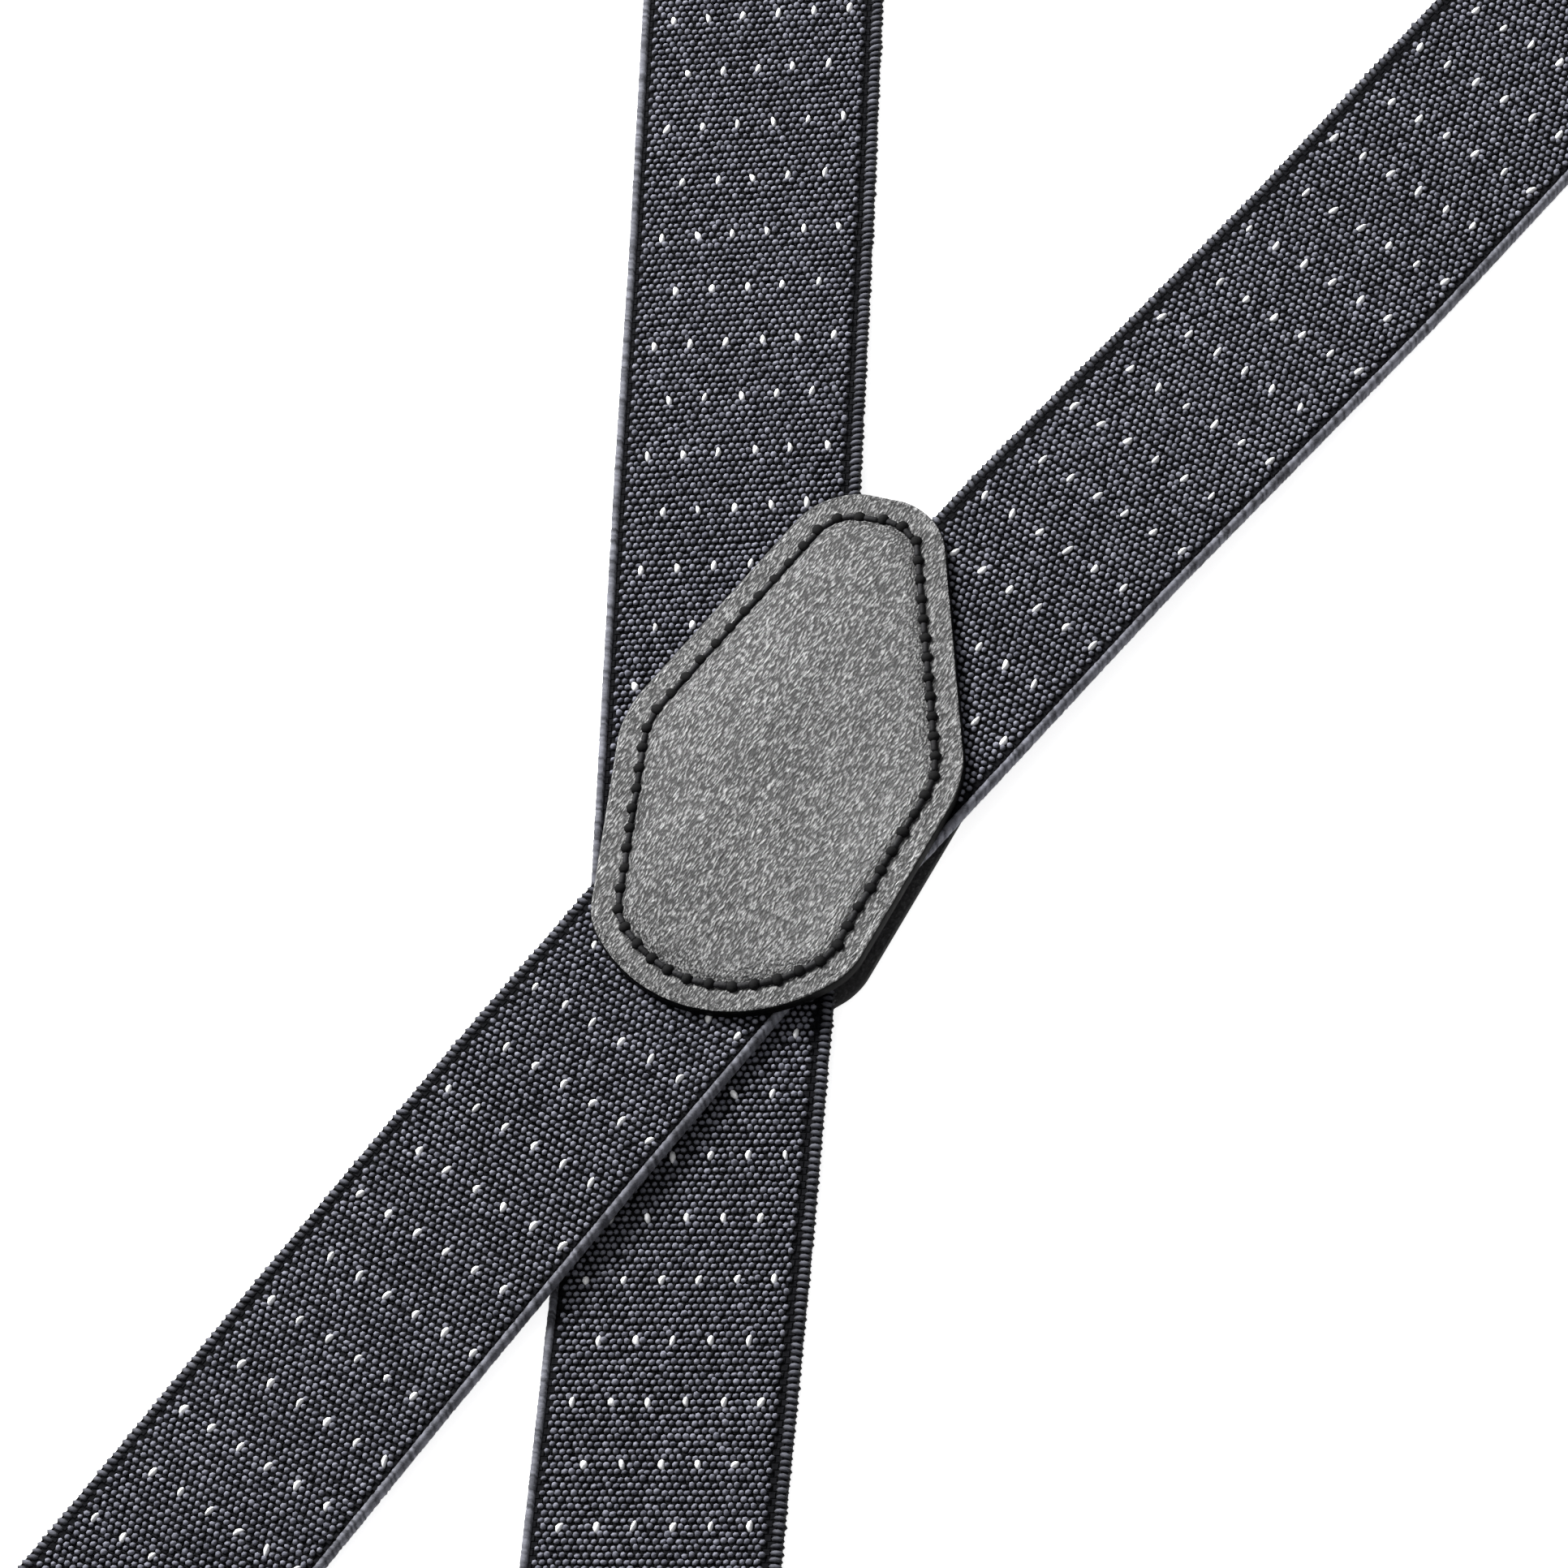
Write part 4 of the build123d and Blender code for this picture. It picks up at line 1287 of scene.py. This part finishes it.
@dataclass
class CrossPatch:
    """Two leathers on the crossing straps, the outer one padded, sewn round the edge."""

    stitch_inset: float = 3.9
    stitch_pitch: float = 3.1
    front_thick: float = 1.6
    back_thick: float = 1.4
    pillow_top: float = 4.78  # above the front leather's underside
    foam_top: float = 3.5
    centre: tuple[float, float] = (0.0, -3.0)
    halves: tuple[float, float] = (24.0, 39.5)  # half width and length that scale the shoulder
    paint_high: float = 1.45  # of the painted edge

    def outline(self, height: float) -> tuple[bmesh.types.BMesh, bmesh.types.BMFace]:
        """Makes the patch's outline: narrow rounded top, wide shoulders, bowed bottom.

        Args:
            height: Where the outline lies.
        Returns:
            The bmesh and its one face.
        """
        corners = [  # x, y and how far along each side the round starts
            (8.4, 40.8, 6.35), (-8.4, 40.8, 6.35), (-24.9, 0.7, 4.1), (-18.9, -30.6, 2.3),
            (0.0, -51.9, 26.0), (18.9, -30.6, 2.3), (24.9, 0.7, 4.1),
        ]
        bm = bmesh.new()
        verts = [bm.verts.new((x, y, height)) for x, y, _ in corners]
        bm.faces.new(verts)
        for vert, (_, _, reach) in zip(verts, corners):
            bmesh.ops.bevel(
                bm, geom=[vert], offset=reach, offset_type="OFFSET", segments=44 if reach > 20 else 14,
                profile=0.5, affect="VERTICES", material=-1, clamp_overlap=False,
            )
        for edge in [e for e in bm.edges if e.calc_length() > 1.6]:
            cuts = int(edge.calc_length() / 0.8)
            bmesh.ops.subdivide_edges(bm, edges=[edge], cuts=cuts)
        bm.faces.ensure_lookup_table()
        return bm, bm.faces[0]

    def step_in(self, bm: bmesh.types.BMesh, face: bmesh.types.BMFace, inward: float, up: float) -> None:
        """Steps the patch's top in and up by one ring.

        Args:
            bm: The patch.
            face: Its top face, which stays the top face.
            inward: Distance in from the last ring.
            up: Height of the step.
        """
        bmesh.ops.inset_individual(
            bm, faces=[face], thickness=max(inward, 1e-4), depth=0.0, use_even_offset=True
        )
        bmesh.ops.translate(bm, verts=face.verts, vec=(0.0, 0.0, up))

    def shell(self, height: float, rim: list, shoulder: list, top: float, rings: int) -> tuple:
        """Raises a closed leather or foam body from its outline.

        Args:
            height: Where its underside lies.
            rim: (inward, height) of each ring from the edge.
            shoulder: (inward, height) of each ring of the padded rise.
            top: Height of the crown.
            rings: Rings of the crown.
        Returns:
            The mesh and the stitch line's places.
        """
        bm, face = self.outline(height)
        made = bmesh.ops.extrude_face_region(bm, geom=[face])
        top_face = next(f for f in made["geom"] if isinstance(f, bmesh.types.BMFace))
        if top_face.normal.z < 0:
            top_face.normal_flip()
        middle = Matrix.Translation((-self.centre[0], -self.centre[1], 0.0))
        at_in, at_up, line = 0.0, 0.0, None
        for inward, up in rim:
            self.step_in(bm, top_face, inward - at_in, up - at_up)
            at_in, at_up = inward, up
            if abs(inward - self.stitch_inset) < 0.01:
                line = np.array([v.co[:] for v in top_face.verts])
        for inward, up in shoulder:
            self.step_in(bm, top_face, 0.0, up - at_up)
            less = [1 - (inward - at_in) / (half - at_in) for half in self.halves]
            bmesh.ops.scale(bm, vec=(*less, 1.0), space=middle, verts=top_face.verts)
            at_in, at_up = inward, up
        for ring in range(1, rings):
            share = 1 - ring / rings
            last = 1 - (ring - 1) / rings
            rise = (top - at_up) * (last ** 2.0 - share ** 2.0)
            self.step_in(bm, top_face, 0.0, rise)
            factor = share / last
            bmesh.ops.scale(bm, vec=(factor, factor, 1.0), space=middle, verts=top_face.verts)
        bmesh.ops.poke(bm, faces=[top_face])
        bmesh.ops.recalc_face_normals(bm, faces=bm.faces)
        bm.normal_update()
        for side in bm.faces:
            low = side.calc_center_median().z < height + self.paint_high
            side.material_index = 1 if low and abs(side.normal.z) < 0.9 else 0
        return to_mesh(bm, "patch"), line

    def evenly(self, line: np.ndarray) -> tuple[np.ndarray, np.ndarray]:
        """Spaces stitches evenly round a closed line.

        Args:
            line: Rows of places round the line.
        Returns:
            Rows of places and of directions.
        """
        ring = np.vstack([line, line[:1]])
        at = np.concatenate([[0.0], np.cumsum(np.linalg.norm(np.diff(ring, axis=0), axis=1))])
        count = round(at[-1] / self.stitch_pitch)
        spots = np.linspace(0, at[-1], count, endpoint=False)

        def along(where: np.ndarray) -> np.ndarray:
            """Gives the places at distances round the line."""
            where = where % at[-1]
            return np.column_stack([np.interp(where, at, ring[:, i]) for i in range(3)])

        return along(spots), along(spots + 0.4) - along(spots - 0.4)

    def front(self) -> None:
        """Builds the padded front leather and its stitches."""
        rim = [
            (0.0, 0.25), (0.0, 1.0), (0.06, 1.25), (0.14, 1.4), (0.28, 1.54), (0.46, 1.6), (0.62, 1.59),
            (0.74, 1.5), (0.86, 1.5), (1.0, 1.59), (1.4, 1.62), (2.4, 1.62), (3.1, 1.58), (3.4, 1.5),
            (3.65, 1.4), (3.9, 1.36), (4.1, 1.44), (4.3, 1.62),
        ]
        shoulder = [
            (4.55, 1.82), (4.85, 2.02), (5.2, 2.22), (5.6, 2.42), (6.1, 2.62), (6.6, 2.78), (7.2, 2.94),
        ]
        mesh, line = self.shell(PATCH_Z, rim, shoulder, self.pillow_top, 34)
        mesh.transform(Matrix.Scale(MM, 4))
        smooth(mesh, 50)
        leather = finished("patch_front_padded_leather", mesh, "leather", "leather", "paint")
        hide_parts("patch_front_leather")
        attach(leather, "root")
        at, way = self.evenly(line)
        at[:, 2] = PATCH_Z + self.front_thick + 0.06
        thread = StitchRow().sew("patch_top_stitches", at, way, Face.OUTER)
        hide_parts("patch_top_thread")
        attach(thread, "root")
        LOG.info("cross patch front: %d stitches", len(at))

    def foam(self) -> None:
        """Builds the foam under the front leather, smaller than the leather all round."""
        rim = [(5.2, 0.0), (5.2, 0.9), (5.3, 1.25), (5.6, 1.55)]
        shoulder = [(6.1, 1.85), (6.7, 2.1)]
        mesh, _ = self.shell(PATCH_Z, rim, shoulder, self.foam_top, 20)
        mesh.transform(Matrix.Scale(MM, 4))
        smooth(mesh, 50)
        foam = finished("patch_foam", mesh, "foam", "foam", "foam")
        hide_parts("patch_padding")
        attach(foam, "root")

    def back(self) -> None:
        """Builds the flat back leather, with its rolled rim and stitches underneath."""
        rim = [
            (0.0, 0.2), (0.0, 0.85), (0.08, 1.02), (0.3, 1.3), (0.55, 1.4), (0.9, 1.36), (1.3, 1.4),
            (3.1, 1.4), (3.5, 1.15), (3.9, 0.95), (4.3, 1.15), (4.6, 1.36), (5.2, 1.4),
        ]
        mesh, line = self.shell(0.0, rim, [(6.0, 1.4)], 1.4, 12)
        mesh.transform(Matrix.Translation((0, 0, self.back_thick)) @ Matrix.Diagonal((1, 1, -1, 1)))
        mesh.flip_normals()
        mesh.transform(Matrix.Scale(MM, 4))
        smooth(mesh, 50)
        leather = finished("patch_back_lining_leather", mesh, "leather", "lining", "paint")
        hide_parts("patch_back_leather")
        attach(leather, "root")
        at, way = self.evenly(line)
        at[:, 2] = 0.34
        thread = StitchRow(radius=0.32, knot=0.42).sew("patch_under_stitches", at, way, Face.INNER)
        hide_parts("patch_bobbin_thread")
        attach(thread, "root")
        LOG.info("cross patch back: %d stitches", len(at))

    def build(self) -> None:
        """Builds the whole patch."""
        self.front()
        self.foam()
        self.back()


@dataclass
class BarTacks:
    """Two rows of short stitches across a strap's sewn end."""

    rows: int = 2
    row_gap: float = 5.0
    bars: int = 11
    edge: float = 3.0
    top: float = 3.78

    def build(self, name: str, leg: Leg, along: float, node: str, body: str) -> None:
        """Sews the rows.

        Args:
            name: The piece's name.
            leg: The leg they are on.
            along: Where the first row is along the leg.
            node: The CAD node they stand for.
            body: The body they move with.
        """
        angle = math.radians(leg.angle)
        spots = []
        for row in range(self.rows):
            for across in np.linspace(-STRAP_WIDTH / 2 + self.edge, STRAP_WIDTH / 2 - self.edge, self.bars):
                run = along + row * self.row_gap
                spots.append((*on_leg(angle, run, across), self.top))
        way = np.tile((math.cos(angle), math.sin(angle)), (len(spots), 1))
        piece = StitchRow(radius=0.33, knot=0.42).sew(name, np.array(spots), way, Face.OUTER)
        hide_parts(node)
        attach(piece, body)


# ------------------------------------------------------------------ fittings


@dataclass
class Fittings:
    """The plated fittings and rubber pads, with their CAD shapes and softened edges."""

    soften: float = 0.12
    angle: float = 38.0

    def softened(self, node: str, name: str, slot: str, finish: str, soften: float) -> bpy.types.Object:
        """Copies a CAD node, merges it and rounds its sharp edges.

        Args:
            node: The CAD node.
            name: The new piece's name.
            slot: The record's material slot.
            finish: Key of its finish.
            soften: Width of the rounding, in millimetres.
        Returns:
            The piece, riding on the node's body.
        """
        source = frame["nodes"][node]
        bm = bmesh.new()
        bm.from_mesh(source.data)
        bmesh.ops.remove_doubles(bm, verts=bm.verts, dist=2e-6)
        bmesh.ops.dissolve_limit(bm, angle_limit=math.radians(0.6), verts=bm.verts, edges=bm.edges)
        mesh = to_mesh(bm, name)
        smooth(mesh, self.angle)
        piece = finished(name, mesh, slot, finish)
        if soften > 0:
            rounding = piece.modifiers.new("Rounding", "BEVEL")
            rounding.width = soften * MM
            rounding.segments = 2
            rounding.limit_method = "ANGLE"
            rounding.angle_limit = math.radians(self.angle)
            rounding.harden_normals = False
        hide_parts(node)
        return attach(piece, source["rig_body"])

    def clip(self, leg: str) -> None:
        """Dresses one leg's ring and clip.

        Args:
            leg: The leg's name.
        """
        self.softened(f"{leg}_ring", f"{leg}_ring_wire", "nickel", "plate", 0.0)
        self.softened(f"{leg}_clip_base", f"{leg}_clip_base_plate", "nickel", "plate", self.soften)
        self.softened(f"{leg}_clip_lever", f"{leg}_clip_lever_plate", "nickel", "plate", self.soften)
        self.softened(f"{leg}_clip_pin", f"{leg}_clip_pin_rivet", "nickel", "pin", 0.08)
        self.softened(f"{leg}_base_pad", f"{leg}_base_pad_rubber", "grip", "grip", 0.08)
        self.softened(f"{leg}_cam_pad", f"{leg}_cam_pad_rubber", "grip", "grip", 0.08)
        LOG.info("%s ring and clip", leg)

    def adjuster(self, side: str) -> None:
        """Dresses one side's length adjuster.

        Args:
            side: left or right, the wearer's.
        """
        for part, finish in (("frame", "plate"), ("flap", "plate"), ("pin", "pin")):
            self.softened(f"{side}_adjuster_{part}", f"{side}_adjuster_{part}_plated", "nickel", finish, 0.08)
        LOG.info("%s adjuster", side)

    def build(self) -> None:
        """Dresses every fitting."""
        for leg in LEGS:
            self.clip(leg)
        for side in ("left", "right"):
            self.adjuster(side)


# ------------------------------------------------------------------ studio


@dataclass
class Studio:
    """A white sweep, soft lights and the camera."""

    aim: tuple[float, float, float] = (0.0002, -0.0028, 0.005)
    eye: tuple[float, float, float] = (0.41366, -0.57007, 1.12345)
    right: tuple[float, float, float] = (0.93167, 0.31163, -0.18683)
    up: tuple[float, float, float] = (-0.18402, 0.84807, 0.49692)
    lens: float = 225.54
    floor_half: float = 6.0
    floor_drop: float = 0.0004

    def camera(self) -> None:
        """Places the camera."""
        data = bpy.data.cameras.new("camera")
        data.lens = self.lens
        data.sensor_width = 36.0
        data.clip_start = 0.05
        data.clip_end = 50.0
        camera = bpy.data.objects.new("camera", data)
        bpy.context.scene.collection.objects.link(camera)
        right, up = Vector(self.right).normalized(), Vector(self.up).normalized()
        back = right.cross(up)
        turn = Matrix((right, up, back)).transposed().to_4x4()
        camera.matrix_world = Matrix.Translation(self.eye) @ turn
        bpy.context.scene.camera = camera

    def light(
        self, name: str, way: tuple[float, float, float], far: float, size: float, power: float
    ) -> None:
        """Hangs a square soft light that faces the object.

        Args:
            name: The light's name.
            way: Direction from the object to the light.
            far: Its distance, in metres.
            size: Its side.
            power: Its power in watts.
        """
        data = bpy.data.lights.new(name, "AREA")
        data.shape = "SQUARE"
        data.size = size
        data.energy = power
        lamp = bpy.data.objects.new(name, data)
        bpy.context.scene.collection.objects.link(lamp)
        direction = Vector(way).normalized()
        lamp.location = Vector(self.aim) + direction * far
        lamp.rotation_mode = "QUATERNION"
        lamp.rotation_quaternion = direction.to_track_quat("Z", "Y")

    def floor(self) -> None:
        """Lays a plain white floor just under the object."""
        bm = bmesh.new()
        bmesh.ops.create_grid(bm, x_segments=1, y_segments=1, size=self.floor_half)
        bmesh.ops.translate(bm, verts=bm.verts, vec=(0.0, 0.0, -self.floor_drop))
        mesh = to_mesh(bm, "floor")
        material, graph, shader = start_material("white_sweep")
        cloud = graph.add("TexNoise", Scale=0.6)
        white = graph.mix(rgb(244, 244, 244), rgb(250, 250, 250), cloud.outputs[0])
        graph.join(white, shader.inputs["Base Color"])
        shader.inputs["Roughness"].default_value = 0.9
        shader.inputs["Specular IOR Level"].default_value = 0.0
        shader.inputs["Emission Color"].default_value = (1, 1, 1, 1)
        shader.inputs["Emission Strength"].default_value = 0.8
        mesh.materials.append(material)
        floor = bpy.data.objects.new("floor", mesh)
        bpy.context.scene.collection.objects.link(floor)

    def build(self) -> None:
        """Sets up the whole studio."""
        world = bpy.data.worlds.new("studio")
        world.use_nodes = True
        world.node_tree.nodes["Background"].inputs["Color"].default_value = (1, 1, 1, 1)
        world.node_tree.nodes["Background"].inputs["Strength"].default_value = 0.15
        bpy.context.scene.world = world
        bpy.context.scene.view_settings.view_transform = "Standard"
        self.camera()
        self.light("key", (-0.85, 0.55, 0.72), 1.5, 0.55, 66.0)
        self.light("fill", (0.5, -0.9, 1.4), 2.0, 1.6, 6.0)
        self.light("top", (-0.2, 0.1, 1.0), 1.8, 1.2, 5.0)
        self.floor()


def main() -> None:
    """Builds the suspenders."""
    logging.basicConfig(level=logging.INFO, format="%(name)s: %(message)s")
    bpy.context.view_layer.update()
    Studio().build()
    for side in ("left", "right"):
        FrontStrap(side).build()
        RearStrap(side).build()
        BarTacks().build(
            f"{side}_front_end_stitches", LEGS[f"{side}_front"], FRONT_TACK_AT,
            f"{side}_front_tack_thread", f"{side}_adjuster",
        )
        BarTacks().build(
            f"{side}_rear_end_stitches", LEGS[f"{side}_rear"], REAR_TACK_AT,
            f"{side}_rear_tack_thread", "root",
        )
    CrossPatch().build()
    Fittings().build()


if __name__ == "__main__":
    main()
